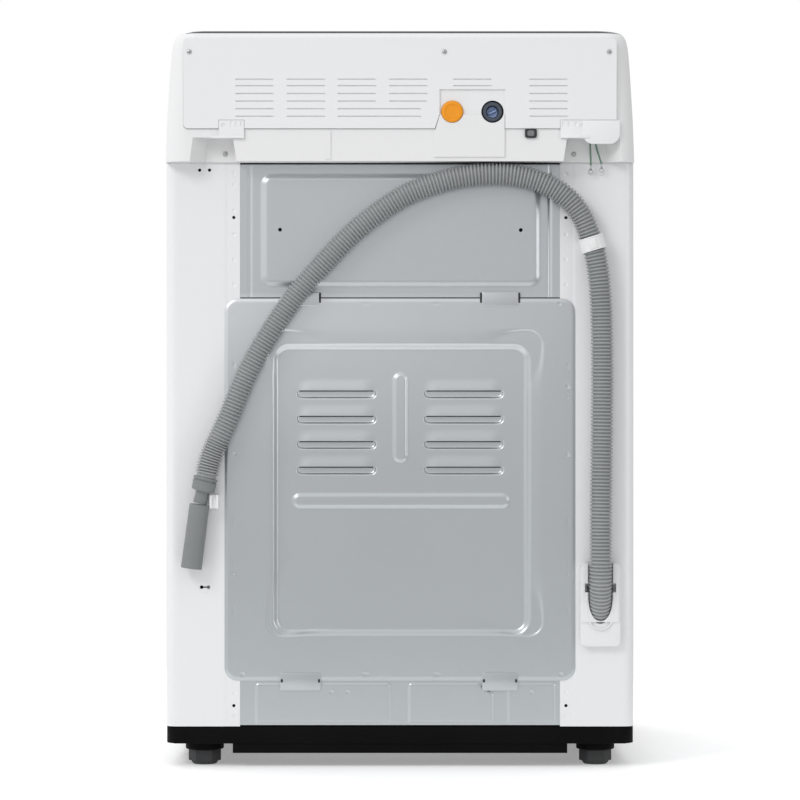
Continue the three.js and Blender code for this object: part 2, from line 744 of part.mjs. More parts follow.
function outerTub() {
  const shell = turned(
    [
      [40, TUB_BOTTOM],
      [276, TUB_BOTTOM],
      [281, TUB_BOTTOM + 8],
      [TUB_R, TUB_TOP],
      [TUB_R - WALL, TUB_TOP],
      [278, TUB_BOTTOM + 9],
      [273, TUB_BOTTOM + 4],
      [40, TUB_BOTTOM + 4],
      [40, TUB_BOTTOM],
    ],
    36,
  );
  const arm = block(276, ROD_OFFSET * Math.SQRT2 + 18, -22, 22, LUG.z0, LUG.z1);
  const lugs = corners.map(([, sx, sy]) =>
    arm.rotate([0, 0, THREE.MathUtils.radToDeg(Math.atan2(sy, sx))]),
  );
  const holes = corners.map(([, sx, sy]) =>
    round(7, 300, 400, 12).translate([sx * ROD_OFFSET, sy * ROD_OFFSET, 0]),
  );
  return cut(join(shell, ...lugs), ...holes);
}
piece("outer_tub", tubPlastic, outerTub(), [0, 0, 0], tubGroup);
piece("tub_cover_ring", tubPlastic, ringOf(232, 289, TUB_TOP + GAP, 798, 36), [0, 0, 0], tubGroup);

// A rod hangs from each corner plate by a ball, and carries the tub on a spring near its lower end.
const SPRING = { z0: 250, z1: LUG.z0 - GAP, r: 14, wire: 1.9, turns: 5 };
const rod = () =>
  turned(
    [
      [0, 236],
      [10, 236],
      [18, 243],
      [18, 247],
      [4, 249.7],
      [4, 798.3],
      [12, 798.3],
      [8, 807],
      [0, 809],
    ],
    12,
  );

function spring() {
  const points = [];
  const perTurn = 7;
  const [low, high] = [SPRING.z0 + SPRING.wire, SPRING.z1 - SPRING.wire];
  for (let i = 0; i <= SPRING.turns * perTurn; i += 1) {
    const a = (i * 2 * Math.PI) / perTurn;
    const z = low + ((high - low) * i) / (SPRING.turns * perTurn);
    points.push([SPRING.r * Math.cos(a), SPRING.r * Math.sin(a), z]);
  }
  return tube(points, SPRING.wire, 5, SPRING.turns * perTurn);
}
for (const [where, sx, sy] of corners) {
  const place = [sx * ROD_OFFSET, sy * ROD_OFFSET, 0];
  piece("suspension_rod_" + where, springSteel, rod(), place, tubGroup);
  piece("suspension_spring_" + where, springSteel, spring(), place, tubGroup);
}

// ---------- drum, pulsator and drive ----------
piece(
  "drum",
  stainless,
  ringOf(DRUM_R - DRUM_SHEET, DRUM_R, DRUM_BOTTOM + 12 + GAP, DRUM_TOP, 36),
  [0, 0, 0],
  tubGroup,
);
piece(
  "balance_ring",
  ringPlastic,
  turned(
    [
      [RING_INNER_R, DRUM_TOP - 12],
      [DRUM_R - 1.6, DRUM_TOP - 12],
      [DRUM_R - 1.6, DRUM_TOP + GAP],
      [DRUM_R + 3, DRUM_TOP + GAP],
      [DRUM_R + 3, RING_TOP - 4],
      [DRUM_R - 2, RING_TOP],
      [RING_INNER_R + 8, RING_TOP],
      [RING_INNER_R, RING_TOP - 8],
      [RING_INNER_R, DRUM_TOP - 12],
    ],
    36,
  ),
  [0, 0, 0],
  tubGroup,
);
piece(
  "drum_base",
  stainless,
  turned(
    [
      [9, 166],
      [15, 166],
      [15, DRUM_BOTTOM - 6],
      [60, DRUM_BOTTOM - 6],
      [150, DRUM_BOTTOM],
      [DRUM_R - 1, DRUM_BOTTOM],
      [DRUM_R - 1, DRUM_BOTTOM + 12],
      [DRUM_R - 8, DRUM_BOTTOM + 12],
      [DRUM_R - 22, DRUM_BOTTOM + 6],
      [9, DRUM_BOTTOM + 6],
      [9, 166],
    ],
    36,
  ),
  [0, 0, 0],
  tubGroup,
);

function lintFilter() {
  const bow = cut(
    ringOf(250, DRUM_R - 2.2, 430, 640, 72),
    block(-300, 244, -300, 300, 400, 700),
    block(0, 300, -300, -44, 400, 700),
    block(0, 300, 44, 300, 400, 700),
  );
  return bow;
}
piece("lint_filter", greyPlastic, lintFilter(), [0, 0, 0], tubGroup);

function pulsator() {
  const dish = turned(
    [
      [0, 276],
      [205, 276],
      [212, 280],
      [212, 286],
      [196, 290],
      [150, 286],
      [60, 296],
      [36, 318],
      [14, 326],
      [0, 326],
    ],
    28,
  );
  const vane = loft([
    outline(70, 15, 12, (x, y) => [x + 118, y, 283], 2),
    outline(62, 9, 8, (x, y) => [x + 112, y, 302], 2),
    outline(50, 4, 3.9, (x, y) => [x + 104, y, 312], 2),
  ]);
  const vanes = [0, 1, 2, 3].map((k) => vane.rotate([0, 0, 90 * k]));
  return join(dish, ...vanes);
}
piece("pulsator", whitePlastic, pulsator(), [0, 0, 0], tubGroup);

piece(
  "bearing_housing",
  finish(0xa9acaf, 0.5, 0.9),
  turned(
    [
      [17, 178],
      [44, 178],
      [44, 222],
      [120, 226],
      [120, TUB_BOTTOM - GAP],
      [17, TUB_BOTTOM - GAP],
      [17, 178],
    ],
    32,
  ),
  [0, 0, 0],
  tubGroup,
);
piece("motor_stator", copper, ringOf(44.6, 112, 188, 208, 32), [0, 0, 0], tubGroup);
piece(
  "motor_rotor",
  zincSteel,
  turned(
    [
      [0, 150],
      [124, 150],
      [130, 156],
      [130, 216],
      [126, 216],
      [126, 158],
      [122, 154],
      [20, 154],
      [8, 162],
      [8, 275.7],
      [0, 275.7],
    ],
    32,
  ),
  [0, 0, 0],
  tubGroup,
);
piece("drain_pump", greyPlastic, cut(
  join(
    round(34, 172, 235.7, 20).translate([-180, 90, 0]),
    block(-240, -180, 78, 102, 190, 214),
  ),
  block(-245, -225, 84, 96, 196, 208),
), [0, 0, 0], tubGroup);

// ---------- drain hose ----------
// The route of the hose's centre line, from inside the outlet up to its clip and over to the far end.
const HOSE_ROUTE = [
  [-270, 292.2, 197],
  [-270, 306, 219.3],
  [-270, 314.4, 244],
  [-270, HOSE_Y, 270],
  [-270, HOSE_Y, 330],
  [-271.5, HOSE_Y, 450],
  [-272, HOSE_Y, 540],
  [-270, HOSE_Y, 630],
  [-266, HOSE_Y, 671],
  [-258.5, HOSE_Y, 705],
  [-243, HOSE_Y, 744],
  [-220, HOSE_Y, 771],
  [-190, HOSE_Y, 788],
  [-155, HOSE_Y, 797],
  [-120, HOSE_Y, 798.8],
  [-84, HOSE_Y, 795.5],
  [-46, HOSE_Y, 786],
  [-4, HOSE_Y, 769],
  [54, HOSE_Y, 728.6],
  [98, HOSE_Y, 685],
  [142, HOSE_Y, 633.5],
  [177, HOSE_Y, 582],
  [206, HOSE_Y, 530],
  [232, HOSE_Y, 468],
  [247, HOSE_Y, 436],
  [256, HOSE_Y, 412],
  [261, HOSE_Y, 391],
];
const hose = tube(HOSE_ROUTE, HOSE_R, 10, 42);
piece("drain_hose", greyPlastic, hose);

const hoseEnd = HOSE_ROUTE.at(-1);
const hoseGroup = new THREE.Group();
hoseGroup.position.set(...hoseEnd);
hoseGroup.rotation.y = Math.atan2(-5, 21);
root.add(hoseGroup);
// The cuff's collar and neck, and then the straight end piece, which is open at its lower end.
const CUFF_END = -36;
const cuffProfile = [
  [0, -GAP],
  [16, -GAP],
  [16.5, -6],
  [15.5, -18],
  [9, -20],
  [9, CUFF_END],
  [0, CUFF_END],
];
piece("drain_hose_cuff", greyPlastic, turned(cuffProfile, 20), [0, 0, 0], hoseGroup);
const nozzleGroup = new THREE.Group();
nozzleGroup.position.set(0, 0, CUFF_END - GAP);
nozzleGroup.rotation.y = THREE.MathUtils.degToRad(6);
hoseGroup.add(nozzleGroup);
const nozzleProfile = [
  [0, -1],
  [12, -1],
  [13.6, -5],
  [14.2, -88],
  [11.8, -88],
  [11.8, -20],
  [0, -18],
  [0, -1],
];
piece("drain_hose_nozzle", greyPlastic, turned(nozzleProfile, 20), [0, 0, 0], nozzleGroup);

// The outlet's moulding frames the hose where it comes out of the cabinet.
function outletCover() {
  const plate = cut(
    wallPlate(roundedRect(-297, -243, 163, 275, 8), FLANGE_Y + 13, 13 - GAP),
    block(-291, -249, FLANGE_Y - 5, FLANGE_Y + 20, 236, 300),
  );
  const channel = tube([[-270, 278.4, 174.7], ...HOSE_ROUTE.slice(0, 6)], HOSE_R + 1.5, 12, 18);
  return cut(plate, channel);
}
piece("drain_outlet_cover", whitePlastic, outletCover());

const STRAP_AT = [-258.5, HOSE_Y, 705];
const strap = cut(
  join(
    ringOf(14, 17.7, -9.5, 9.5, 20),
    block(-9, 9, FLANGE_Y + GAP - HOSE_Y, -14, -9.5, 9.5),
  ),
  round(16.2, -20, 20, 20),
);
piece("hose_strap", whitePlastic, strap, STRAP_AT).rotation.y = THREE.MathUtils.degToRad(17);

piece("hose_end_clip", whitePlastic, block(244, 256, FLANGE_Y + GAP, 322, 349, 367.5));

// ---------- earth leads ----------
// Both leads come down out of the scoop's ceiling and hang over the cabinet's flange.
const leads = [
  [[-256, 312, 846], [-256.2, 311.6, 834.5], [-256.8, 309.8, 822.5], [-257.2, 306.5, 810.5]],
  [[-262, 312, 846], [-264.4, 311.8, 835], [-268, 310.4, 823.5], [-271.6, 307.4, 812.5]],
];
leads.forEach((route, i) => {
  piece("earth_lead_" + (i + 1), greenVinyl, tube(route, 1.2, 8, 8));
  const [x, y, z] = route.at(-1);
  const ring = cut(
    join(round(3.6, -0.4, 0.4, 16).translate([0, -8, 0]), block(-1.2, 1.2, -6, -0.9, -0.4, 0.4)),
    round(1.9, -5, 5, 12).translate([0, -8, 0]),
  );
  piece("earth_terminal_" + (i + 1), stainless, ring.rotate([90, 0, 0]), [x, y, z]);
});

export default root;
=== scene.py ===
import bmesh
import bpy
import math
import numpy as np
from mathutils import Matrix, Vector


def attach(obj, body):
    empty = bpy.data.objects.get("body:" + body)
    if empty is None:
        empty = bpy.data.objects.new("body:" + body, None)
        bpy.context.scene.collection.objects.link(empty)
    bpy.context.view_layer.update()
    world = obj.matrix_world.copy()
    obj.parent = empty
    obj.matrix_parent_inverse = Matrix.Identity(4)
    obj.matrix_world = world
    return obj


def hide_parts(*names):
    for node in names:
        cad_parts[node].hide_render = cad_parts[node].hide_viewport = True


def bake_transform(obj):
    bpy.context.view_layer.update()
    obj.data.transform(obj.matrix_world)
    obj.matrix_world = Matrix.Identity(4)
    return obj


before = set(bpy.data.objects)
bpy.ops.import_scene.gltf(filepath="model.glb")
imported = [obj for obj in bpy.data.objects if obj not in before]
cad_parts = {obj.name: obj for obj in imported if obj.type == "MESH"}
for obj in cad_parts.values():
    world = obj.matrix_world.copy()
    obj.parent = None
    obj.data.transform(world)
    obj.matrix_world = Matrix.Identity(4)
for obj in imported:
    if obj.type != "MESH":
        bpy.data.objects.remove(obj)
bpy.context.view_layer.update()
MM = 0.001  # lengths below are in millimetres unless a name says otherwise
scene = bpy.context.scene

# ---------- camera and light ----------
# A long lens stands square behind the machine at half its height, as in a catalogue picture.
# Soft boxes stand on both sides and in front. The world is pale, brighter above and towards +X, and plain
# white where the camera sees it.
camera = bpy.data.objects.new("camera", bpy.data.cameras.new("camera"))
camera.data.lens = 150
camera.data.sensor_width = 36
camera.location = (0, 4.8, 0.495)
camera.rotation_euler = (math.pi / 2, 0, math.pi)
scene.collection.objects.link(camera)
scene.camera = camera
scene.view_settings.view_transform = "Standard"


def soft_box(name, place, aim, width, height, watts):
    light = bpy.data.objects.new(name, bpy.data.lights.new(name, "AREA"))
    light.data.shape = "RECTANGLE"
    light.data.size = width
    light.data.size_y = height
    light.data.energy = watts
    light.location = place
    light.rotation_euler = (Vector(aim) - Vector(place)).to_track_quat("-Z", "Y").to_euler()
    scene.collection.objects.link(light)


soft_box("key_light", (2.4, 3.2, 3.0), (0, 0.2, 0.7), 1.4, 1.4, 50)
soft_box("fill_light", (-3.0, 2.4, 1.2), (0, 0.2, 0.5), 0.8, 2.4, 13)
soft_box("front_light", (1.6, -3.4, 2.8), (0, -0.2, 0.6), 1.8, 1.8, 20)

world = bpy.data.worlds.new("studio")
scene.world = world
world.use_nodes = True
sky = world.node_tree
sky.nodes.clear()
sky_kinds = ("OutputWorld", "MixShader", "Background", "Background", "LightPath", "TexCoord", "VectorMath",
             "MapRange")
sky_out, sky_mix, sky_lit, sky_seen, sky_ray, sky_way, sky_sweep, sky_range = [
    sky.nodes.new("ShaderNode" + kind) for kind in sky_kinds
]
sky_sweep.operation = "DOT_PRODUCT"
sky_sweep.inputs[1].default_value = (0.55, 0, 0.83)
for socket, value in zip(sky_range.inputs[1:5], (-0.6, 0.85, 0.42, 1.06)):
    socket.default_value = value
sky_lit.inputs["Color"].default_value = (0.985, 0.99, 1, 1)
sky_seen.inputs["Color"].default_value = (1, 1, 1, 1)
for start, out, end, into in [
    (sky_way, "Generated", sky_sweep, 0),
    (sky_sweep, "Value", sky_range, 0),
    (sky_range, 0, sky_lit, "Strength"),
    (sky_ray, "Is Camera Ray", sky_mix, 0),
    (sky_lit, 0, sky_mix, 1),
    (sky_seen, 0, sky_mix, 2),
    (sky_mix, 0, sky_out, 0),
]:
    sky.links.new(start.outputs[out], end.inputs[into])

# ---------- drain hose ----------
# Grey corrugated polypropylene, 30 mm over the ribs and 1.29 m long without its end pieces.
# It leaves the cabinet at the lower corner, runs up the flange to a strap, and crosses over to a clip.


class Wire:
    """A shader value that can stand in a sum, on either side of it."""

    def __init__(self, paint, socket):
        self.paint = paint
        self.socket = socket

    def sum(self, operation, a, b):
        return self.paint.add("ShaderNodeMath", {"operation": operation}, {0: a, 1: b})

    def __add__(self, other):
        return self.sum("ADD", self, other)

    def __radd__(self, other):
        return self.sum("ADD", other, self)

    def __sub__(self, other):
        return self.sum("SUBTRACT", self, other)

    def __rsub__(self, other):
        return self.sum("SUBTRACT", other, self)

    def __mul__(self, other):
        return self.sum("MULTIPLY", self, other)

    def __rmul__(self, other):
        return self.sum("MULTIPLY", other, self)


class Paint:
    """A material made of nodes, with one principled shader."""

    def __init__(self, name, colour, roughness, metallic=0.0, coat=0.0):
        self.material = bpy.data.materials.new(name)
        self.material.use_nodes = True
        self.tree = self.material.node_tree
        self.tree.nodes.clear()
        self.out = self.tree.nodes.new("ShaderNodeOutputMaterial")
        self.shader = self.tree.nodes.new("ShaderNodeBsdfPrincipled")
        self.tree.links.new(self.shader.outputs[0], self.out.inputs[0])
        self.colour = (*colour, 1)
        self.material.diffuse_color = self.colour
        self.set("Base Color", self.colour)
        self.set("Roughness", roughness)
        self.set("Metallic", metallic)
        self.set("Coat Weight", coat)
        self.roughness = roughness

    def feed(self, socket, value):
        if isinstance(value, Wire):
            self.tree.links.new(value.socket, socket)
        else:
            socket.default_value = value

    def set(self, name, value):
        self.feed(self.shader.inputs[name], value)

    def add(self, kind, settings, inputs, output=0):
        node = self.tree.nodes.new(kind)
        for key, value in settings.items():
            setattr(node, key, value)
        for key, value in inputs.items():
            self.feed(node.inputs[key], value)
        return Wire(self, node.outputs[output])

    def place(self, stretch=(1, 1, 1)):
        where = self.add("ShaderNodeTexCoord", {}, {}, "Object")
        return self.add("ShaderNodeVectorMath", {"operation": "MULTIPLY"}, {0: where, 1: stretch})

    def axis(self, name):
        where = self.add("ShaderNodeTexCoord", {}, {}, "Object")
        return self.add("ShaderNodeSeparateXYZ", {}, {0: where}, name)

    def noise(self, scale, detail=2.0, stretch=(1, 1, 1)):
        inputs = {"Vector": self.place(stretch), "Scale": scale, "Detail": detail}
        return self.add("ShaderNodeTexNoise", {}, inputs)

    def cells(self, scale, output="Color", stretch=(1, 1, 1)):
        inputs = {"Vector": self.place(stretch), "Scale": scale}
        return self.add("ShaderNodeTexVoronoi", {}, inputs, output)

    def ramp(self, value, low, high, to_low=0.0, to_high=1.0):
        inputs = {0: value, 1: low, 2: high, 3: to_low, 4: to_high}
        return self.add("ShaderNodeMapRange", {}, inputs)

    def mix(self, a, b, factor):
        return self.add("ShaderNodeMix", {"data_type": "RGBA"}, {0: factor, 6: a, 7: b}, 2)

    def tint(self, factor, colour):
        """Moves the base colour towards another by a varying factor."""
        base = self.shader.inputs["Base Color"]
        before = Wire(self, base.links[0].from_socket) if base.is_linked else self.colour
        self.set("Base Color", self.mix(before, (*colour, 1), factor))

    def patches(self, colour, scale, detail, most, low=0.4, high=0.7):
        """Soft patches of another colour, where the noise runs from low to high."""
        self.tint(self.ramp(self.noise(scale, detail), low, high, 0, most), colour)

    def bump(self, height, depth):
        """Height is a value near 0 to 1, and depth is in metres."""
        inputs = {"Height": height, "Distance": depth, "Strength": 1.0}
        self.set("Normal", self.add("ShaderNodeBump", {}, inputs))

    def grain(self, scale, depth, spread=0.0):
        """A moulded or sprayed surface: fine bump, and the roughness wanders a little."""
        fine = self.noise(scale, 3)
        self.bump(fine, depth)
        if spread:
            broad = self.noise(9, 2)
            self.set("Roughness", self.ramp(broad, 0.1, 0.9, self.roughness - spread,
                                            self.roughness + spread))


def srgb(r, g, b):
    def line(v):
        v /= 255
        return v / 12.92 if v <= 0.04045 else ((v + 0.055) / 1.055) ** 2.4

    return (line(r), line(g), line(b))


def finish_mesh(obj, smooth=35):
    obj.data.shade_smooth()
    obj.data.set_sharp_from_angle(angle=math.radians(smooth))
    return obj


def outward(obj, smooth=35, weld=0):
    """Turns the faces of a closed mesh to the outside, after welding points within a distance in metres."""
    bm = bmesh.new()
    bm.from_mesh(obj.data)
    if weld:
        bmesh.ops.remove_doubles(bm, verts=bm.verts, dist=weld)
    bmesh.ops.recalc_face_normals(bm, faces=bm.faces)
    if bm.calc_volume(signed=True) < 0:
        bmesh.ops.reverse_faces(bm, faces=bm.faces)
    bm.to_mesh(obj.data)
    bm.free()
    return finish_mesh(obj, smooth)


def solid(name, points, faces, paint=None, smooth=35):
    """A mesh from points in millimetres."""
    mesh = bpy.data.meshes.new(name)
    mesh.from_pydata(np.asarray(points, float) * MM, [], faces)
    mesh.update()
    obj = bpy.data.objects.new(name, mesh)
    scene.collection.objects.link(obj)
    if paint is not None:
        mesh.materials.append(paint.material)
    return finish_mesh(obj, smooth)


def loft(name, rings, paint=None, smooth=35):
    """A skin through rings of equally many points, closed at both ends."""
    n = len(rings[0])
    points = [p for ring in rings for p in ring]
    faces = []
    last = (len(rings) - 1) * n
    for a in range(0, last, n):
        faces += [(a + i, a + (i + 1) % n, a + n + (i + 1) % n, a + n + i) for i in range(n)]
    faces.append(tuple(range(n))[::-1])
    faces.append(tuple(last + i for i in range(n)))
    return outward(solid(name, points, faces, paint, smooth), smooth)


def between(u, t0, t1, p, q):
    """The point at u on a straight line that is at p for t0 and at q for t1."""
    return p * (t1 - u) / (t1 - t0) + q * (u - t0) / (t1 - t0)


def smoothly(points, per=8):
    """A centripetal Catmull-Rom line through points, as an array."""
    p = [np.array(q, float) for q in points]
    p = [2 * p[0] - p[1], *p, 2 * p[-1] - p[-2]]
    line = []
    for i in range(1, len(p) - 2):
        t = [0.0]
        for j in range(3):
            t.append(t[-1] + np.linalg.norm(p[i + j] - p[i + j - 1]) ** 0.5)
        for u in np.linspace(t[1], t[2], per, endpoint=False):
            a = [between(u, t[j], t[j + 1], p[i + j - 1], p[i + j]) for j in range(3)]
            b = [between(u, t[j], t[j + 2], a[j], a[j + 1]) for j in range(2)]
            line.append(between(u, t[1], t[2], b[0], b[1]))
    line.append(p[-2])
    return np.array(line)


def evenly(line, count):
    """Points spaced evenly along a line, and its length."""
    steps = np.linalg.norm(np.diff(line, axis=0), axis=1)
    run = np.concatenate([[0], np.cumsum(steps)])
    at = np.linspace(0, run[-1], count)
    return np.column_stack([np.interp(at, run, line[:, k]) for k in range(3)]), run[-1]


def tube(name, line, radii, paint, sides=28, side=(0, 1, 0), smooth=60):
    """A tube round a line, with its own radius at each point."""
    ahead = np.gradient(line, axis=0)
    ahead /= np.linalg.norm(ahead, axis=1)[:, None]
    a = np.array(side, float)[None, :] - ahead * (ahead @ np.array(side, float))[:, None]
    a /= np.linalg.norm(a, axis=1)[:, None]
    b = np.cross(ahead, a)
    angles = np.linspace(0, 2 * np.pi, sides, endpoint=False)
    rings = [
        [line[i] + radii[i] * (math.cos(t) * a[i] + math.sin(t) * b[i]) for t in angles]
        for i in range(len(line))
    ]
    return loft(name, rings, paint, smooth)


def belongs(obj, body, slot, *nodes):
    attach(obj, body)
    if nodes:
        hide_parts(*nodes)
    return obj


HOSE_ROUTE = [
    (-0.270, 0.2922, 0.197), (-0.270, 0.3060, 0.2193), (-0.270, 0.3144, 0.244),
    (-0.270, 0.3172, 0.270), (-0.270, 0.3172, 0.330), (-0.2715, 0.3172, 0.450),
    (-0.272, 0.3172, 0.540), (-0.270, 0.3172, 0.630), (-0.266, 0.3172, 0.671),
    (-0.2585, 0.3172, 0.705), (-0.243, 0.3172, 0.744), (-0.220, 0.3172, 0.771),
    (-0.190, 0.3172, 0.788), (-0.155, 0.3172, 0.797), (-0.120, 0.3172, 0.7988),
    (-0.084, 0.3172, 0.7955), (-0.046, 0.3172, 0.786), (-0.004, 0.3172, 0.769),
    (0.054, 0.3172, 0.7286), (0.098, 0.3172, 0.685), (0.142, 0.3172, 0.6335),
    (0.177, 0.3172, 0.582), (0.206, 0.3172, 0.530), (0.232, 0.3172, 0.468),
    (0.247, 0.3172, 0.436), (0.256, 0.3172, 0.412), (0.261, 0.3172, 0.391),
]
hose_paint = Paint("hose plastic", srgb(152, 155, 155), 0.42)
hose_paint.grain(900, 0.00006, 0.06)
hose_paint.patches(srgb(128, 132, 132), 14, 4, 0.22, 0.35, 0.7)

HOSE_PITCH = 4.75
HOSE_CREST = 15.0
HOSE_ROOT = 12.2
HOSE_END_PITCH = 3.8  # the last ribs before the cuff stand closer and a little prouder
hose_line = smoothly(np.array(HOSE_ROUTE) * 1000, 24)
hose_line, hose_length = evenly(hose_line, 2000)
hose_turns = round(hose_length / HOSE_PITCH)
hose_line, hose_length = evenly(hose_line, hose_turns * 10 + 1)
along = np.linspace(0, hose_length, len(hose_line))
near_cuff = np.clip((along - hose_length + 54) / 8, 0, 1)
wave = along / HOSE_PITCH + near_cuff * (along - hose_length + 54) * (1 / HOSE_END_PITCH - 1 / HOSE_PITCH)
crest = np.clip(np.cos(2 * np.pi * wave) * 1.6 + 0.35, -1, 1) * 0.5 + 0.5
ribs = HOSE_ROOT + (HOSE_CREST + 0.7 * near_cuff - HOSE_ROOT) * crest
ribs = np.where(along > hose_length - 4, 12.9, ribs)
drain_hose = tube("drain_hose_ribbed", hose_line, ribs, hose_paint, 40, smooth=80)
belongs(drain_hose, "root", "hose_plastic", "drain_hose")


def on_hose_end(x, y, z, turn):
    """From the cuff's frame to the row frame. The nozzle's frame hangs 36.3 lower and is turned on."""
    if turn:
        x, z = x * math.cos(turn) + z * math.sin(turn), z * math.cos(turn) - x * math.sin(turn) - 36.3
    a = math.atan2(-5, 21)
    return (261 + x * math.cos(a) + z * math.sin(a), 317.2 + y, 391 - x * math.sin(a) + z * math.cos(a))


def end_piece(name, profile, turn=0.0, segments=56):
    rings = []
    for r, h in profile:
        ring = []
        for i in range(segments):
            t = 2 * math.pi * i / segments
            ring.append(on_hose_end(r * math.cos(t), r * math.sin(t), h, turn))
        rings.append(ring)
    return loft(name, rings, end_paint, 40)


# The cuff is a separate elastomer moulding: a bead, a collar with two grooves, and a neck.
# The end piece is a straight tube that hooks into a standpipe. It is open below.
end_paint = Paint("hose end plastic", srgb(122, 126, 126), 0.5)
end_paint.grain(700, 0.00005, 0.05)
end_paint.patches(srgb(108, 113, 113), 25, 3, 0.25, 0.4, 0.8)
cuff = end_piece(
    "hose_cuff_moulding",
    [(12.5, -0.3), (15.6, -0.3), (16.4, -1.0), (16.6, -2.2), (16.4, -3.4), (15.2, -4.2), (15.0, -5.2),
     (16.2, -6.0), (16.5, -7.2), (16.2, -8.6), (15.8, -9.3), (15.8, -12), (15.6, -17.2), (15.0, -18.4),
     (10, -19.4), (9, -20.4), (8.9, -28), (9, -35.9), (3, -35.9)],
)
belongs(cuff, "root", "hose_plastic", "drain_hose_cuff")
nozzle = end_piece(
    "hose_nozzle_tube",
    [(3, -1), (12, -1), (13.2, -2), (13.5, -4), (13.6, -20), (13.9, -55), (14.2, -84), (14.2, -87.2),
     (13.6, -88), (12.4, -88), (11.9, -87.4), (11.8, -60), (11.8, -22), (3, -20)],
    math.radians(6),
)
belongs(nozzle, "root", "hose_plastic", "drain_hose_nozzle")

# ---------- earth leads ----------
# Two short green PVC leads come down out of the scoop's ceiling and end in crimped ring terminals.
# They are about 36 and 35 mm long to the crimps, and hang just off the flange.


def turned(name, profile, paint=None, segments=64, at=(0, 0, 0), along="Z", smooth=35, whole=False):
    """A body of revolution: its profile is a list of (radius, height), and whole closes it into a ring."""
    points = []
    for i in range(segments):
        a = 2 * math.pi * i / segments
        c, s = math.cos(a), math.sin(a)
        for r, h in profile:
            x, y, z = {"X": (h, r * c, r * s), "Y": (r * c, h, r * s), "Z": (r * c, r * s, h)}[along]
            points.append((at[0] + x, at[1] + y, at[2] + z))
    n = len(profile)
    faces = []
    for k in range(segments):
        a, b = k * n, ((k + 1) % segments) * n
        steps = n if whole else n - 1
        faces += [(a + i, a + (i + 1) % n, b + (i + 1) % n, b + i) for i in range(steps)]
    return outward(solid(name, points, faces, paint, smooth), smooth, 1e-6)


def upright(name, points, y0, y1, paint=None, smooth=35):
    """A wall plate: its outline in X and Z, between two depths."""
    return loft(name, [[(x, y, z) for x, z in points] for y in (y0, y1)], paint, smooth)


def merge(name, *parts, smooth=35):
    """Joins meshes into one object, each keeping its material."""
    graph = bpy.context.evaluated_depsgraph_get()
    points, faces, slots, materials, base = [], [], [], [], 0
    for part in parts:
        mesh = bpy.data.meshes.new_from_object(part.evaluated_get(graph))
        mesh.transform(part.matrix_world)
        points += [tuple(v.co) for v in mesh.vertices]
        index = {}
        for i, material in enumerate(mesh.materials):
            if material not in materials:
                materials.append(material)
            index[i] = materials.index(material)
        for face in mesh.polygons:
            faces.append(tuple(base + v for v in face.vertices))
            slots.append(index.get(face.material_index, 0))
        base = len(points)
        bpy.data.meshes.remove(mesh)
        bpy.data.objects.remove(part)
    whole = bpy.data.meshes.new(name)
    whole.from_pydata(points, [], faces)
    for material in materials:
        whole.materials.append(material)
    whole.polygons.foreach_set("material_index", slots)
    whole.update()
    obj = bpy.data.objects.new(name, whole)
    scene.collection.objects.link(obj)
    return finish_mesh(obj, smooth)


LEAD_ROUTES = [
    [(-0.256, 0.312, 0.846), (-0.2561, 0.3119, 0.843), (-0.2561, 0.3118, 0.840), (-0.2562, 0.3117, 0.837),
     (-0.2562, 0.3116, 0.8345), (-0.2563, 0.3113, 0.831), (-0.2565, 0.3109, 0.828),
     (-0.2566, 0.3105, 0.8255), (-0.2568, 0.3098, 0.8225), (-0.2569, 0.3092, 0.820),
     (-0.2570, 0.3086, 0.8178), (-0.2571, 0.3079, 0.8155), (-0.25715, 0.3072, 0.813),
     (-0.25718, 0.3068, 0.8115), (-0.2572, 0.3065, 0.8105)],
    [(-0.262, 0.312, 0.846), (-0.2625, 0.31195, 0.8435), (-0.2631, 0.3119, 0.841),
     (-0.2637, 0.31185, 0.838), (-0.2644, 0.3118, 0.835), (-0.2652, 0.3115, 0.832),
     (-0.2661, 0.3112, 0.8293), (-0.2670, 0.3109, 0.8265), (-0.268, 0.3104, 0.8235),
     (-0.2689, 0.3098, 0.8208), (-0.2696, 0.3092, 0.8186), (-0.2703, 0.3086, 0.8167),
     (-0.2710, 0.3079, 0.8145), (-0.2714, 0.3076, 0.8132), (-0.2716, 0.3074, 0.8125)],
]
lead_paint = Paint("green vinyl", srgb(96, 128, 110), 0.45)
lead_paint.grain(1500, 0.00003)
lead_paint.patches(srgb(78, 110, 96), 300, 2, 0.4)
tin_paint = Paint("tinned crimp", srgb(196, 199, 201), 0.42, 0.6)
tin_paint.grain(1200, 0.00005, 0.08)
tin_paint.patches(srgb(160, 163, 165), 400, 3, 0.5)
for number, route in enumerate(LEAD_ROUTES, 1):
    line, lead_length = evenly(smoothly(np.array(route) * 1000, 4), 40)
    lead = tube(f"earth_lead_{number}_wire", line, [1.2] * len(line), lead_paint, 16)
    belongs(lead, "root", "lead_green", f"earth_lead_{number}")
    x, y, z = line[-1]
    barrel = turned(f"earth_barrel_{number}",
                    [(0.9, 0.4), (1.55, 0.3), (1.65, -0.2), (1.35, -2.2), (1.6, -4), (0.9, -4.3)],
                    tin_paint, 20, (x, y, z))
    ring = turned(f"earth_ring_{number}", [(1.9, -0.4), (3.5, -0.4), (3.6, 0), (3.5, 0.4), (1.9, 0.4)],
                  tin_paint, 40, (x, y, z - 8), "Y", whole=True)
    neck = upright(f"earth_neck_{number}",
                   [(x - 1.5, z - 5.6), (x + 1.5, z - 5.6), (x + 1, z - 3.6), (x - 1, z - 3.6)], y - 0.4,
                   y + 0.4, tin_paint)
    terminal = merge(f"earth_terminal_{number}_ring", barrel, ring, neck)
    belongs(terminal, "root", "terminal_tin", f"earth_terminal_{number}")

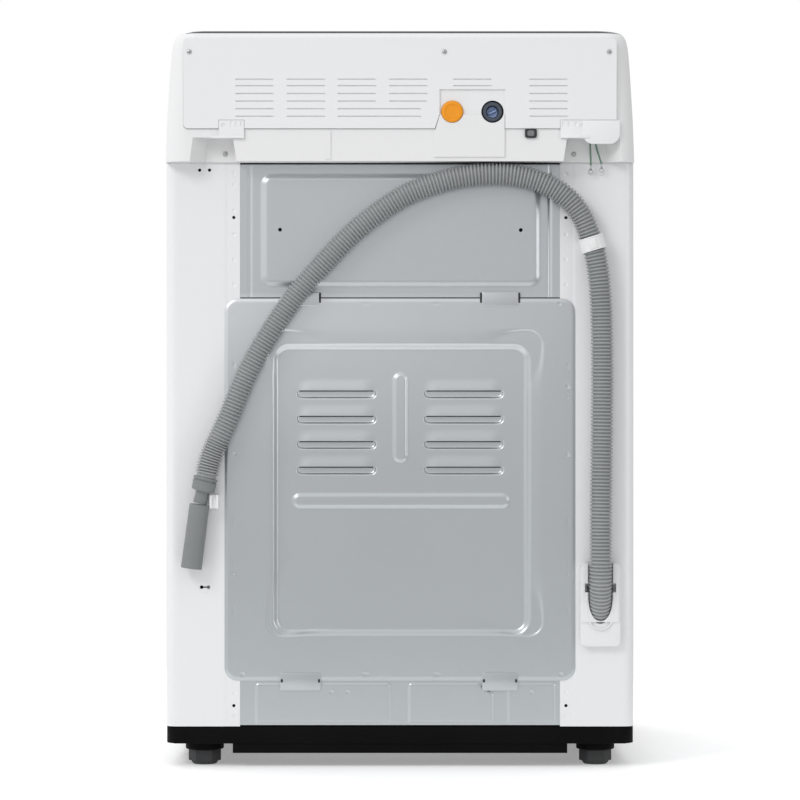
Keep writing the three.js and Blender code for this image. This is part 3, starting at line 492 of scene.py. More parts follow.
# ---------- cabinet ----------
# One white painted steel sheet, 1 mm thick, wraps the front and both sides and turns in at the back.
# Its two rear flanges have a joggle beside the opening, clinch marks, and open screw holes.


def rounded(x0, x1, y0, y1, r, per=8):
    """Points round a rectangle with rounded corners."""
    points = []
    for cx, cy, start in [(x1 - r, y1 - r, 0), (x0 + r, y1 - r, 90), (x0 + r, y0 + r, 180),
                          (x1 - r, y0 + r, 270)]:
        for i in range(per + 1):
            a = math.radians(start + 90 * i / per)
            points.append((cx + r * math.cos(a), cy + r * math.sin(a)))
    return points


def level(name, points, z0, z1, paint=None, smooth=35):
    """A flat plate: its outline in X and Y, between two heights."""
    return loft(name, [[(x, y, z) for x, y in points] for z in (z0, z1)], paint, smooth)


def block(name, x0, x1, y0, y1, z0, z1, paint=None):
    return level(name, [(x0, y0), (x1, y0), (x1, y1), (x0, y1)], z0, z1, paint)


def carve(obj, *tools, keep="DIFFERENCE", smooth=35):
    """Cuts, joins or keeps the common part, and removes the tools."""
    for tool in tools:
        step = obj.modifiers.new("carve", "BOOLEAN")
        step.operation = keep
        step.object = tool
        step.solver = "MANIFOLD"
    graph = bpy.context.evaluated_depsgraph_get()
    mesh = bpy.data.meshes.new_from_object(obj.evaluated_get(graph))
    obj.modifiers.clear()
    material = obj.data.materials[0] if obj.data.materials else None
    obj.data = mesh
    mesh.materials.clear()
    if material:
        mesh.materials.append(material)
    for tool in tools:
        bpy.data.objects.remove(tool)
    return finish_mesh(obj, smooth)


def soften(obj, width=0.8, segments=2, angle=35):
    """Rounds the edges by a width in millimetres."""
    step = obj.modifiers.new("soften", "BEVEL")
    step.width = width * MM
    step.segments = segments
    step.limit_method = "ANGLE"
    step.angle_limit = math.radians(angle)
    step.harden_normals = True
    step.miter_outer = "MITER_ARC"
    return obj


white_paint = Paint("white enamel", (0.80, 0.805, 0.81), 0.3, 0.0, 0.25)
white_paint.grain(300, 0.000012)
white_paint.patches((0.785, 0.79, 0.795), 1.2, 1, 0.5, 0.2, 0.8)
# Painted shade: the enamel is painted darker towards the bottom, below half height.
white_paint.tint(white_paint.ramp(white_paint.axis("Z"), 0.5, 0.05, 0, 0.8), (0.68, 0.685, 0.69))


def sheet_metal(name, front, back, paint, smooth=50):
    """A closed sheet between two grids of points, each (rows, columns, 3)."""
    rows, cols = front.shape[:2]
    points = np.concatenate([front.reshape(-1, 3), back.reshape(-1, 3)])
    i, j = np.meshgrid(np.arange(rows - 1), np.arange(cols - 1), indexing="ij")
    a = (i * cols + j).ravel()
    quads = np.column_stack([a, a + 1, a + cols + 1, a + cols])
    lower = quads[:, ::-1] + rows * cols
    edge = [k for k in range(cols)] + [r * cols + cols - 1 for r in range(1, rows)]
    edge += [(rows - 1) * cols + k for k in range(cols - 2, -1, -1)] + [r * cols
                                                                        for r in range(rows - 2, 0, -1)]
    edge = np.array(edge)
    after = np.roll(edge, -1)
    rim = np.column_stack([edge, edge + rows * cols, after + rows * cols, after])
    faces = np.concatenate([quads, lower, rim]).tolist()
    return outward(solid(name, points, faces, paint, smooth), smooth)


def step(d, width):
    """0 where d is above 0, and rises smoothly to 1 at a depth of width."""
    t = np.clip(-d / width, 0, 1)
    return t * t * (3 - 2 * t)


def from_box(x, z, x0, x1, z0, z1, r):
    """Signed distance to a rounded rectangle, below 0 inside."""
    qx = np.abs(x - (x0 + x1) / 2) - (x1 - x0) / 2 + r
    qz = np.abs(z - (z0 + z1) / 2) - (z1 - z0) / 2 + r
    return np.hypot(np.maximum(qx, 0), np.maximum(qz, 0)) + np.minimum(np.maximum(qx, qz), 0) - r


def mark(x, z, places, radius=2.6, depth=0.9):
    """Round clinch marks: a dent with a faint raised lip."""
    height = np.zeros_like(x)
    for px, pz in places:
        d = np.hypot(x - px, z - pz)
        dent = -depth * np.exp(-((d / radius) ** 4))
        lip = 0.25 * depth * np.exp(-(((d - 1.5 * radius) / (0.45 * radius)) ** 2))
        height += dent + lip
    return height


def pin(name, x, y0, y1, z, r):
    return turned(name, [(0, y0), (r, y0), (r, y1), (0, y1)], None, 24, (x, 0, z), "Y")


def spread(*parts):
    """Grid lines: each part is (from, to, step), and they follow each other."""
    lines = [np.linspace(a, b, max(2, round(abs(b - a) / s) + 1)) for a, b, s in parts]
    return np.concatenate([lines[0]] + [part[1:] for part in lines[1:]])


FLANGE_Y = 299
wrap = []
for x in spread((216, 222, 1.5), (222, 240, 1.0), (240, 302, 5)):
    wrap.append((x, FLANGE_Y, 0, 1))
for cx, cy, r, turn in [(302, 285, 14, 90), (289, -306, 27, 0), (-289, -306, 27, -90),
                        (-302, 285, 14, -180)]:
    for a in np.linspace(turn, turn - 90, 11):
        c, s = math.cos(math.radians(a)), math.sin(math.radians(a))
        if abs(wrap[-1][0] - (cx + r * c)) + abs(wrap[-1][1] - (cy + r * s)) > 0.01:
            wrap.append((cx + r * c, cy + r * s, c, s))
for x in spread((302, 240, 5), (240, 222, 1.0), (222, 216, 1.5))[1:]:
    wrap.append((-x, FLANGE_Y, 0, 1))
wrap = np.array(wrap)
wrap_z = spread((54.3, 128, 1.3), (128, 620, 6), (620, 815, 1.3))
clinches = [800.6, 785.7, 751.3, 718.7, 684.5, 651.1, 99.4, 68]
flange_marks = [(224.1, z) for z in clinches] + [(-224.1, z) for z in clinches if z != 785.7]
gx, gz = np.meshgrid(wrap[:, 0], wrap_z)
on_flange = np.broadcast_to((wrap[:, 1] > 298.9)[None, :], gx.shape)
bulge = mark(gx, gz, flange_marks, 2.4, 0.8) - 0.4 * step(from_box(gx, gz, -236.5, 236.5, -100, 1200, 0), 3)
bulge = np.where(on_flange, bulge, 0)
normal = np.zeros((*gx.shape, 3))
normal[..., 0] = wrap[:, 2][None, :]
normal[..., 1] = wrap[:, 3][None, :]
outer = np.stack([gx, np.broadcast_to(wrap[:, 1][None, :], gx.shape), gz], -1) + normal * bulge[..., None]
cabinet = sheet_metal("cabinet_sheet", outer, outer - normal * 1.0, white_paint)
open_holes = [(224.4, 741.5), (224.4, 82.3), (-224.1, 741.2), (-224.1, 82.3), (270.5, 805.4),
              (257.2, 805.4)]
cutters = [pin(f"hole_{i}", x, 290, 305, z, 2.2) for i, (x, z) in enumerate(open_holes)]
cutters.append(block("outlet_hole", -288, -252, 290, 305, 170, 246))
cutters += [pin("key_a", 258.6, 290, 305, 242.3, 2.4), pin("key_b", 267.8, 290, 305, 242.3, 2.4)]
cutters.append(block("key_c", 258.6, 267.8, 290, 305, 241.4, 243.2))
carve(cabinet, *cutters, smooth=50)
corner_plates = []
for sx in (-1, 1):
    for y0, y1 in ((-331.9, -258), (222, 297.9)):
        cy = y0 + 41.9 if y0 < 0 else y1 - 43.9
        plate = level("plate", rounded(sx * 277 - 38, sx * 277 + 38, y0, y1, 6), 795, 798, white_paint)
        carve(plate, level("inside", rounded(-314.8, 314.8, -331.8, 300, 26, 10), 700, 900),
              keep="INTERSECT")
        rod_y = -290 if y0 < 0 else 254
        carve(plate, turned("seat", [(0, 780), (6.5, 780), (6.5, 810), (0, 810)], None, 32,
                            (sx * 272, rod_y, 0)))
        corner_plates.append(soften(plate, 0.4))
hook = turned("earth_hook", [(0, 0), (3.2, 0), (3.2, 1.2), (2.6, 1.8), (0, 1.9)], white_paint, 24,
              (-271.5, 299, 801.5), "Y")
hook_2 = turned("earth_screw", [(0, 0), (3.2, 0), (3.2, 1.2), (2.6, 1.8), (0, 1.9)], white_paint, 24,
                (-257.2, 299, 802.4), "Y")
cabinet = merge("cabinet_shell", cabinet, *corner_plates, hook, hook_2, smooth=50)
belongs(cabinet, "root", "cabinet_paint", "cabinet")

# ---------- upper rear panel ----------
# A zinc coated steel panel spot welded behind the flanges, with a large pad pressed out of it.
# A bead runs down each side of the pad, and two open holes take a transport strap. A dark strip near its
# foot, along the rear cover's upper edge, is painted shadow.
zinc = Paint("zinc coated steel", (0.56, 0.585, 0.605), 0.28, 0.8)
spangle = zinc.ramp(zinc.cells(130), 0.0, 1.0, 0.0, 1.0)
haze = zinc.noise(4, 2, (1, 1, 0.6))
zinc.tint(spangle * 0.12, (0.64, 0.665, 0.685))
zinc.tint(zinc.ramp(haze, 0.1, 0.9, 0.0, 0.3), (0.49, 0.515, 0.535))
# Painted highlight: the zinc is painted lighter from 0.42 m up to the rear cover's upper edge, more so
# towards +X.
painted_highlight = zinc.ramp(zinc.axis("Z"), 0.42, 0.6, 0, 1) * zinc.ramp(zinc.axis("Z"), 0.634, 0.64, 1, 0.2)
zinc.tint(painted_highlight * zinc.ramp(zinc.axis("X"), -0.25, 0.22, 0.1, 0.75), (0.76, 0.785, 0.80))
# Painted shade: the zinc is painted darker towards the bottom.
zinc.tint(zinc.ramp(zinc.axis("Z"), 0.62, 0.08, 0.0, 0.6), (0.42, 0.45, 0.46))
zinc.set("Roughness", zinc.ramp(zinc.noise(9, 2), 0.1, 0.9, 0.27, 0.33))
zinc.bump(zinc.noise(700, 2), 0.000006)


def pressed(name, xs, zs, face_y, height, paint, outline, *cutters):
    """A flat sheet with a height over it, trimmed to an outline and with holes cut."""
    x, z = np.meshgrid(xs, zs)
    front = np.stack([x, face_y + height(x, z), z], -1)
    back = front.copy()
    back[..., 1] -= 1.0
    obj = sheet_metal(name, front, back, paint)
    keep = upright("keep", outline, face_y - 40, face_y + 40)
    carve(obj, keep, keep="INTERSECT", smooth=50)
    if cutters:
        carve(obj, *cutters, smooth=50)
    return obj


def upper_relief(x, z):
    pad = 3.0 * step(from_box(x, z, -191, 189, 646.5, 802, 16), 10)
    beads = 1.3 * step(np.abs(np.abs(x) - 202.4) - 3.2, 3.2)
    return pad - beads + mark(x, z, [(-60, 652), (60, 652)], 2.2, 0.5)


upper_panel = pressed(
    "upper_rear_panel_sheet",
    spread((-228, -175, 1.2), (-175, 175, 7), (175, 228, 1.2)),
    spread((612, 672, 1.2), (672, 782, 6), (782, 813, 1.2)),
    297.7,
    upper_relief,
    zinc,
    rounded(-217.5, 217.5, 612, 813, 3),
    pin("strap_hole_a", 162, 280, 310, 725, 2.6),
    pin("strap_hole_b", -163, 280, 310, 724.4, 2.6),
)
# Painted shadow: a dark strip stands in the gap above the rear cover's upper edge, where there is only shade.
shadow_strip_paint = Paint("painted shadow strip", srgb(74, 78, 80), 0.8)
shadow_strip_paint.grain(900, 0.0001, 0.05)
shadow_strip_paint.patches(srgb(60, 63, 65), 200, 2, 0.5)
shadow_strip = upright("shadow_strip", rounded(-216, 216, 630, 633.7, 0.8, 4), 297.6, 298.6, shadow_strip_paint)
upper_panel = merge("upper_rear_panel_pressing", upper_panel, shadow_strip, smooth=50)
belongs(upper_panel, "root", "zinc_steel", "upper_rear_panel")

# ---------- rear cover ----------
# The removable service cover of zinc coated steel, held by hooked tabs above and below and by screws.
# A shallow dish stiffens it, with eight louvres, an upright bead between them and a long bead below.
LOUVRE_Z = [404, 438.5, 472.7, 507]
LOUVRE_X = [-86, 86]
COVER_MARKS = [(45.9, 625), (-48.6, 625), (-215.2, 625), (224, 542.7), (224, 421.2), (224, 330.8),
               (224, 272.7), (224, 209.3), (-226.8, 541.4), (-226.8, 513), (-226.8, 421.2), (-226.8, 330.8),
               (-226.8, 272.7), (-226.8, 209.3), (212.5, 124.2), (45.9, 124.2), (-49.5, 124.2),
               (-217.4, 124.2)]
COVER_HOLES = [(224.4, 260.6), (-226.8, 498.2), (-226.8, 259.6)]


def cover_relief(x, z):
    near = np.zeros_like(x)
    for cx, cz in [(181, 591), (-194, 591), (181, 175), (-194, 175)]:
        near = np.maximum(near, np.exp(-((np.hypot(x - cx, z - cz) / 75) ** 4)))
    outer_step = from_box(x, z, -194, 181, 175, 591, 22)
    height = -1.5 * step(outer_step, 2.5 + 30 * (1 - near))
    height -= 5.5 * step(from_box(x, z, -177, 173, 176, 572, 24), 9.5)
    for cx in LOUVRE_X:
        ends = step(np.abs(x - cx) - 54, 18)
        for cz in LOUVRE_Z:
            hood = np.clip(1 - (z - cz) / 18, 0, 1) * (z > cz)
            hood = hood * hood * (3 - 2 * hood)
            trough = step(from_box(x, z, cx - 55, cx + 55, cz - 11, cz + 8, 8.5), 4.2) * (z <= cz)
            height += 2.4 * ends * hood - 3.0 * trough
    height += 2.6 * step(from_box(x, z, -10.8, 9.9, 410, 532, 10.3), 4.5)
    height += 2.6 * step(from_box(x, z, -148.5, 145.8, 348.7, 369.2, 10.2), 4.5)
    height += mark(x, z, COVER_MARKS, 2.4, 0.8)
    rolled = step(from_box(x, z, -237, 237, 116, 632, 18), 4.5)
    return height - 1.3 * (1 - rolled)


slots = [block(f"slot_{i}", x - 50, x + 50, 280, 315, z - 0.6, z + 0.9) for i, (x, z) in
         enumerate((x, z) for x in LOUVRE_X for z in LOUVRE_Z)]
screw_holes = [pin(f"cover_hole_{i}", x, 290, 310, z, 2.1) for i, (x, z) in enumerate(COVER_HOLES)]
rear_cover = pressed(
    "rear_cover_sheet",
    spread((-238, -142, 1.5), (-142, -136, 1), (-136, -36, 3.5), (-36, -30, 1), (-30, 30, 1.5), (30, 36, 1),
           (36, 136, 3.5), (136, 142, 1), (142, 238, 1.5)),
    spread((115, 200, 1.5), (200, 340, 5), (340, 388, 1.5), (388, 532, 0.9), (532, 556, 3),
           (556, 633, 1.5)),
    300.3,
    cover_relief,
    zinc,
    rounded(-237, 237, 116, 632, 18, 12),
    *slots,
    *screw_holes,
)
# Painted shade: near-black strips fill the slits beside the cover's tabs, standing for the shade in the
# openings.
slit_shade_paint = Paint("painted slit shade", (0.03, 0.032, 0.034), 0.5, 0.3)
slit_shade_paint.grain(900, 0.00004, 0.1)
slit_shade_paint.patches((0.05, 0.05, 0.05), 200, 2, 0.5)
tabs = []
for x0, x1 in ((109.4, 144.5), (-159.7, -110.7)):
    tab = upright("tab", rounded(x0, x1, 622, 640.6, 2.5), 300.2, 301.6, zinc)
    tabs.append(soften(tab, 0.6))
    for x in (x0 - 1.4, x1 + 1.4):
        tabs.append(upright("slit", rounded(x - 1.3, x + 1.3, 626, 640, 1.2), 299.4, 300.45, slit_shade_paint))
for x0, x1 in ((106.7, 162), (-159.3, -110.7)):
    tab = upright("tab", rounded(x0, x1, 102.6, 127, 3), 300.2, 301.5, zinc)
    tabs.append(soften(tab, 0.6))
    for x in (x0 + 2.5, x1 - 2.5):
        tabs.append(upright("slit", rounded(x - 1.6, x + 1.6, 113.6, 118.4, 1.4), 301.0, 301.65,
                            slit_shade_paint))
rear_cover = merge("rear_cover_pressing", rear_cover, *tabs, smooth=50)
belongs(rear_cover, "root", "zinc_steel", "rear_cover")

# ---------- lower rear panel ----------
# A narrow zinc coated strip welded across the foot of the opening, with three pads pressed out of it.


def lower_relief(x, z):
    pads = step(from_box(x, z, 12.2, 195.8, 58, 113.4, 5), 3.2)
    pads = np.maximum(pads, step(from_box(x, z, -210.6, -144.5, 58, 113.4, 4), 3.2))
    middle = np.maximum(from_box(x, z, -126.9, -10.8, 58, 113.4, 5), (z - 113.4 - (x + 105) * 0.7) * 0.82)
    pads = np.maximum(pads, step(middle, 3.2))
    return 1.6 * pads + mark(x, z, [(92.5, 99.9), (70.2, 99.9), (-178, 99.9)], 2.2, 0.7)


lower_panel = pressed(
    "lower_rear_panel_sheet",
    spread((-228, 228, 1.3)),
    spread((56, 128, 1.3)),
    297.7,
    lower_relief,
    zinc,
    rounded(-217.5, 217.5, 56, 128, 3),
)
belongs(lower_panel, "root", "zinc_steel", "lower_rear_panel")

# ---------- top cover ----------
# One large white ABS moulding, 3 mm thick, that tapers towards the top and carries the lid and console.
# It is screwed to the cabinet's flanges in a scoop at each rear corner.
shell_paint = Paint("white ABS", (0.815, 0.82, 0.825), 0.38, 0.0, 0.1)
shell_paint.grain(700, 0.000015)
shell_paint.patches((0.80, 0.805, 0.81), 1.6, 1, 0.5, 0.2, 0.8)
LID_SLOPE = math.atan2(30.4, 471)
CONSOLE_SLOPE = math.radians(18)
CONSOLE_FOOT = (136, 935.4)  # the Y and Z where the console starts to rise
LID_HINGE = (0, 122, 926.497)
TOP_Z = 991
COVER_LEVELS = [(815.3, 316, 0), (830, 315.6, 0.1), (870, 314.2, 0.8), (915, 311.6, 2), (940, 310.1, 2.5),
                (961, 308.4, 3), (972, 306.9, 3.5), (980, 304.9, 4.3), (985, 302.4, 5.8), (988, 299.4, 7.8),
                (990, 296, 10), (991, 292, 12.5)]


def lid_plane(y):
    """The height of the lid's deck, which rises to the rear."""
    return 905 + (y + 335) * math.tan(LID_SLOPE)


def cover_form(inset, per=14):
    rings = []
    for i, (z, half_x, back) in enumerate(COVER_LEVELS):
        half_y = 333 - back - inset
        low = z - 5 if inset and not i else z
        rings.append([(x, y - 2, low) for x,
                      y in rounded(inset - half_x, half_x - inset, -half_y, half_y, 30 - inset, per)])
    return loft(f"form_{inset}", rings)


def along_x(name, points, x0, x1, paint=None):
    """A side profile of (y, z) carried along X."""
    return loft(name, [[(x, y, z) for y, z in points] for x in (x0, x1)], paint)


def under_top(lid_drop, console_drop):
    foot_y, foot_z = CONSOLE_FOOT
    flat_y = foot_y + (TOP_Z - foot_z) / math.tan(CONSOLE_SLOPE)
    top = TOP_Z + 0.5 - console_drop
    points = [(-400, 700), (400, 700), (400, top), (flat_y + 1.5, top), (foot_y, foot_z - console_drop),
              (foot_y, lid_plane(foot_y) - lid_drop), (-400, lid_plane(-400) - lid_drop)]
    return along_x("under_top", points, -400, 400)


def lid_recess(grow):
    front, back, deep = -321 - grow, 133 + grow, 16 + grow
    points = [(front, lid_plane(front) - deep), (back, lid_plane(back) - deep), (back, 1100), (front, 1100)]
    return along_x("recess", points, -271 - grow, 271 + grow)


def mouth(grow, z0, z1):
    return level("mouth", rounded(-225 - grow, 225 + grow, -262 - grow, 100 + grow, 110 + grow, 20), z0, z1)


def scoop(side, grow):
    wide = 18 if side < 0 else 0

    def ring(inner, outer, deepest, z):
        corners = [(inner - grow, 345), (inner - grow, 302.4 - grow), (deepest + wide + grow, 302.4 - grow),
                   (outer + wide + grow, 345)]
        return [(side * x, y, z) for x, y in corners]

    return loft("scoop", [ring(214, 296, 266, 780), ring(224, 288, 258, 847 + grow)])


INLET_Z = 881.5
HOT_X, COLD_X = -70, -124


def on_console(obj, x=0, along=88, z=0):
    """From the console's sloping frame to the row frame."""
    place = Matrix.Translation(Vector((0, *CONSOLE_FOOT)) * MM) @ Matrix.Rotation(CONSOLE_SLOPE, 4, "X")
    obj.data.transform(place @ Matrix.Translation(Vector((x, along, z)) * MM))
    return obj


def spout_hole(x):
    return pin("spout_hole", x, 280, 360, INLET_Z, 15.1)


cover = carve(cover_form(0), under_top(0, 4), keep="INTERSECT")
window = upright("window", rounded(-291, 291, 858.5, 980, 6.5, 8), 320, 340)
carve(cover, window)
bay_edge = [(-140.5, 877.7), (-53.5, 877.7), (-46.5, 855), (-46, 821), (-140, 821)]
carve(cover, upright("bay_wall", bay_edge, 328.5, 333), block("ridge", 93, 100, 330, 332.2, 818, 855),
      keep="UNION")
hollow = carve(cover_form(3, 8), under_top(3, 7), keep="INTERSECT")
carve(hollow, lid_recess(3), block("pocket_wall", -78, 78, -345, -302, 869, 1100),
      block("ledge", -400, 400, 297, 400, 700, 818.3), scoop(-1, 2.7), scoop(1, 2.7), mouth(3, 822, 1100))
carve(cover, hollow, lid_recess(0), block("pocket", -75, 75, -345, -305, 872, 1000), scoop(-1, 0),
      scoop(1, 0), mouth(0, 700, 1100), spout_hole(HOT_X), spout_hole(COLD_X),
      block("drawer_way", 57, 203, 30, 115, 863, 910),
      on_console(block("console_way", -250, 250, 50, 125, -30, 2), 0, 0))
carve(cover, *[turned("pin_hole", [(0, -15), (4.6, -15), (4.6, 15), (0, 15)], None, 32,
                      (s * 280, *LID_HINGE[1:]), "X")
               for s in (-1, 1)])
soften(cover, 1.1, 3, 40)
belongs(cover, "root", "cover_plastic", "top_cover")


def swing(obj, place, angle, axis="Z"):
    """Turns a mesh about its origin by an angle in radians, then puts it in its place."""
    obj.data.transform(Matrix.Translation(Vector(place) * MM) @ Matrix.Rotation(angle, 4, axis))
    return obj


# Pan head screws of the cover: zinc plated, with a cross recess. Two hold it to the flanges in the scoops.
screw_paint = Paint("zinc plated screw", (0.5, 0.5, 0.5), 0.3, 0.9)
screw_paint.grain(1500, 0.00003, 0.08)
screw_paint.patches((0.38, 0.38, 0.39), 500, 2, 0.5)


def screw(name, x, y, z, r=3.6, turn=20):
    head = turned(name, [(0, 0), (r, 0), (r, 0.6), (r * 0.9, 1.3), (r * 0.6, 1.9), (0, 2.2)], screw_paint,
                  40, (x, y, z), "Y")
    for angle in (turn, turn + 90):
        bar = block("bar", -r * 0.62, r * 0.62, 0.9, 4, -r * 0.14, r * 0.14)
        swing(bar, (x, y, z), math.radians(angle), "Y")
        carve(head, bar)
    return head


for name, x, y, z, r in [("scoop_screw_right", 235.7, 302.4, 826.9, 3.4),
                         ("scoop_screw_left", -234.5, 302.4, 826.6, 3.4)]:
    belongs(screw(name, x, y, z, r), "root", "terminal_tin")

# ---------- console back panel ----------
# A white clip-in panel closes the back of the console, vented by rows of narrow slots and screwed at the top.
# A shallow bay leaves the two water inlets free.
back_panel = upright("console_back_moulding", rounded(-290.5, 290.5, 859, 979.5, 6, 8), 328.5, 333,
                     shell_paint)
rows = [875.2, 885.2, 895.5, 905.7, 916.1, 924.8]
slot_list = []
for x, start in [(195, 0), (126, 0), (58, 2), (-11, 2), (-97, 4), (-199, 0)]:
    slot_list += [(x - 25.5, x + 25.5, z) for z in rows[start:]]
slot_list += [(-28, 83.5, z) for z in rows[:2]]
carve(back_panel, *[upright("vent", rounded(a, b, z - 0.85, z + 0.85, 0.83, 4), 331.2, 340) for a, b,
                    z in slot_list])
carve(back_panel, block("bay", -141, -53, 330.5, 340, 877, 911.5),
      upright("bay_notch", [(-141, 878), (-53, 878), (-45.4, 855), (-141, 855)], 320, 340),
      spout_hole(HOT_X), spout_hole(COLD_X),
      block("bracket_way_left", -295.5, -214.5, 331, 340, 858, 870.5),
      block("bracket_way_right", 208.5, 243.5, 331, 340, 858, 870.5))
soften(back_panel, 0.5, 2, 40)
belongs(back_panel, "root", "cover_plastic", "console_back_panel")
for i, x in enumerate((282.5, -59.5, -280.5)):
    belongs(screw(f"console_screw_{i + 1}", x, 333, 961.7, 3.2, 35 * i), "root", "terminal_tin")

# ---------- cord brackets ----------
# A moulded hook at each lower corner of the panel, on which the power cord is wound for storage.
# Each has a turned-up lip along its lower edge, and narrow snap slots.


def bracket(name, x0, x1, lip, slots_at, dimple):
    plate = block(name, x0, x1, 331.3, 333.4, 846, 870, shell_paint)
    carve(plate, along_x("lip", [(331.3, 846), (335, 846), (335, 848.4), (334.4, 849), (331.3, 849)], *lip),
          keep="UNION")
    carve(plate, *[block("slit", x - 1, x + 1, 332.6, 340, 862, 868) for x in slots_at])
    carve(plate, turned("dimple", [(0, 332.4), (3, 332.4), (3.4, 336), (0, 336)], None, 32,
                        (dimple, 0, 862.7), "Y"))
    return soften(plate, 0.5, 2, 40)


bracket_right = bracket("cord_bracket_right_moulding", 209, 243, (209, 253), (213, 220, 227), 236.5)
belongs(bracket_right, "root", "cover_plastic", "cord_bracket_right")
bracket_left = bracket("bracket_left", -253, -215, (-253, -215), (-219, -227, -236), -245)
stop = upright("stop", rounded(-295, -245, 838, 884, 14, 10), 331.3, 333.8, shell_paint)
stop = soften(carve(stop, block("above", -300, -240, 330, 336, 870, 890)), 1.2, 3, 40)
bracket_left = merge("cord_bracket_left_moulding", bracket_left, stop)
belongs(bracket_left, "root", "cover_plastic", "cord_bracket_left")

# ---------- power cord gland ----------
# A dark rubber plug moulded round the cord's exit. The cord itself is not shown.
rubber = Paint("dark rubber", srgb(47, 48, 49), 0.7)
rubber.grain(900, 0.00008, 0.08)
rubber.patches(srgb(44, 44, 45), 60, 3, 0.5)
gland_rim = soften(upright("rim", rounded(-183.4, -167.4, 846.2, 858.6, 3), 331.3, 333.8, rubber), 0.6, 3)
grey_rubber = Paint("grey rubber", srgb(120, 122, 124), 0.6)
grey_rubber.grain(900, 0.00006, 0.06)
grey_rubber.patches(srgb(98, 100, 102), 200, 2, 0.5)
gland_core = soften(upright("core", rounded(-180, -170.8, 848.6, 856.2, 2.4), 332, 335, grey_rubber), 0.7,
                    3)
gland = merge("power_cord_gland_plug", gland_rim, gland_core)
belongs(gland, "root", "gland_rubber", "power_cord_gland")

# ---------- water inlets ----------
# A double solenoid valve in grey nylon, whose two threaded spouts stand in the bay.
# The hot one wears an orange shipping cap, and the cold one shows its blue strainer.
valve_paint = Paint("valve nylon", srgb(70, 76, 88), 0.4)
valve_paint.grain(800, 0.00004, 0.05)
valve_paint.patches(srgb(52, 57, 70), 120, 2, 0.4)


def spout(x):
    profile = [(8.2, 304), (8.2, 329), (9.2, 330), (12, 330)]
    for k in range(5):
        y = 329.2 - k * 2.6
        profile += [(12.3, y), (13.2, y - 0.6), (13.2, y - 1.2), (12.3, y - 1.9)]
    profile += [(12.3, 314), (12.3, 297), (8.2, 297)]
    return turned("spout", profile, valve_paint, 64, (x, 0, INLET_Z), "Y", 30, whole=True)


valve_body = soften(block("valve_body", -152, -44, 262, 297, INLET_Z - 20, INLET_Z + 20, valve_paint), 2, 3)
coils = []
for x in (HOT_X, COLD_X):
    coils.append(turned("coil", [(0, 255), (13, 255), (14, 256), (14, 268), (0, 268)], valve_paint, 40,
                        (x, 0, INLET_Z), "Y"))
    coils.append(soften(block("terminals", x - 7, x + 7, 250, 255.5, INLET_Z + 4, INLET_Z + 11,
                              valve_paint), 0.6))
valve = merge("inlet_valve_body", valve_body, spout(HOT_X), spout(COLD_X), *coils)
belongs(valve, "root", "valve_plastic", "inlet_valve")

orange = Paint("orange cap", srgb(240, 152, 0), 0.55)
orange.grain(900, 0.00004, 0.06)
orange.patches(srgb(222, 140, 2), 150, 2, 0.35)
cap_profile = [(13.5, 316.2), (14.2, 316), (14.6, 316.6), (14.6, 332.4), (14.2, 333.6), (13.2, 334.6),
               (12, 335), (10.2, 334.9), (9.6, 334.2), (9, 334.1), (0, 334.3), (0, 332), (13.5, 332)]
cap = turned("hot_inlet_cap_moulding", cap_profile, orange, 96, (HOT_X, 0, INLET_Z), "Y", 30, whole=True)
ribs_cut = []
for k in range(24):
    a = 2 * math.pi * k / 24
    ribs_cut.append(pin("flute", HOT_X + 15.1 * math.cos(a), 314, 329, INLET_Z + 15.1 * math.sin(a), 1.1))
carve(cap, *ribs_cut, smooth=30)
belongs(cap, "hot_cap", "cap_orange", "hot_inlet_cap")

blue = Paint("blue strainer", srgb(158, 182, 222), 0.45)
blue.grain(900, 0.00004, 0.06)
blue.patches(srgb(128, 152, 194), 200, 2, 0.5)
disc = turned("strainer_disc", [(0, 317), (7.5, 317), (7.7, 318), (7.5, 321.4), (6.8, 322), (6.2, 321.4),
                                (0, 321.2)], blue, 64,
              (COLD_X, 0, INLET_Z), "Y", 30)
mesh_holes = []
for ring_r, count in ((2.4, 6), (4.8, 12)):
    for k in range(count):
        a = 2 * math.pi * (k + 0.5) / count
        mesh_holes.append(pin("mesh_hole", COLD_X + ring_r * math.cos(a), 319.6, 330,
                              INLET_Z + ring_r * math.sin(a), 0.7))
carve(disc, *mesh_holes, smooth=30)
pull = soften(block("pull", -6, 6, 321, 324.2, -1.2, 1.2, blue), 0.7, 3)
swing(pull, (COLD_X, 0, INLET_Z), math.radians(24), "Y")
strainer = merge("cold_inlet_strainer_moulding", disc, pull, smooth=30)
belongs(strainer, "strainer", "strainer_blue", "cold_inlet_strainer")

# ---------- hose strap, clip and outlet cover ----------
# White nylon fittings: a strap ring with a foot, a small clip at the far end, and a cradle at the outlet.
nylon = Paint("white nylon", (0.80, 0.80, 0.80), 0.42)
nylon.grain(900, 0.00004, 0.05)
nylon.patches((0.76, 0.76, 0.76), 80, 2, 0.5)
ring = turned("strap_ring", [(16.2, -9.5), (17.3, -9.5), (17.7, -8.9), (17.7, -7.6), (17.3, -7.2),
                             (17.3, 7.2), (17.7, 7.6), (17.7, 8.9), (17.3, 9.5), (16.2, 9.5)], nylon, 72,
              whole=True, smooth=30)
foot_plate = soften(block("foot_plate", -9, 9, 299.3 - 317.2, -15.6, -9.5, 9.5, nylon), 0.6)
catch = soften(block("catch", -5, 5, 16.9, 18.3, -7, 7, nylon), 0.5)
strap = merge("hose_strap_moulding", ring, foot_plate, catch, smooth=30)
swing(strap, (-258.5, 317.2, 705), math.radians(17), "Y")
belongs(strap, "root", "strap_plastic", "hose_strap")

clip = block("hose_end_clip_moulding", 244, 256, 299.3, 322, 349, 367.5, nylon)
carve(clip, block("groove", 247, 253, 318, 330, 340, 372), block("window", 246, 254, 303, 314, 352, 364.5))
soften(clip, 0.7, 3)
belongs(clip, "root", "strap_plastic", "hose_end_clip")

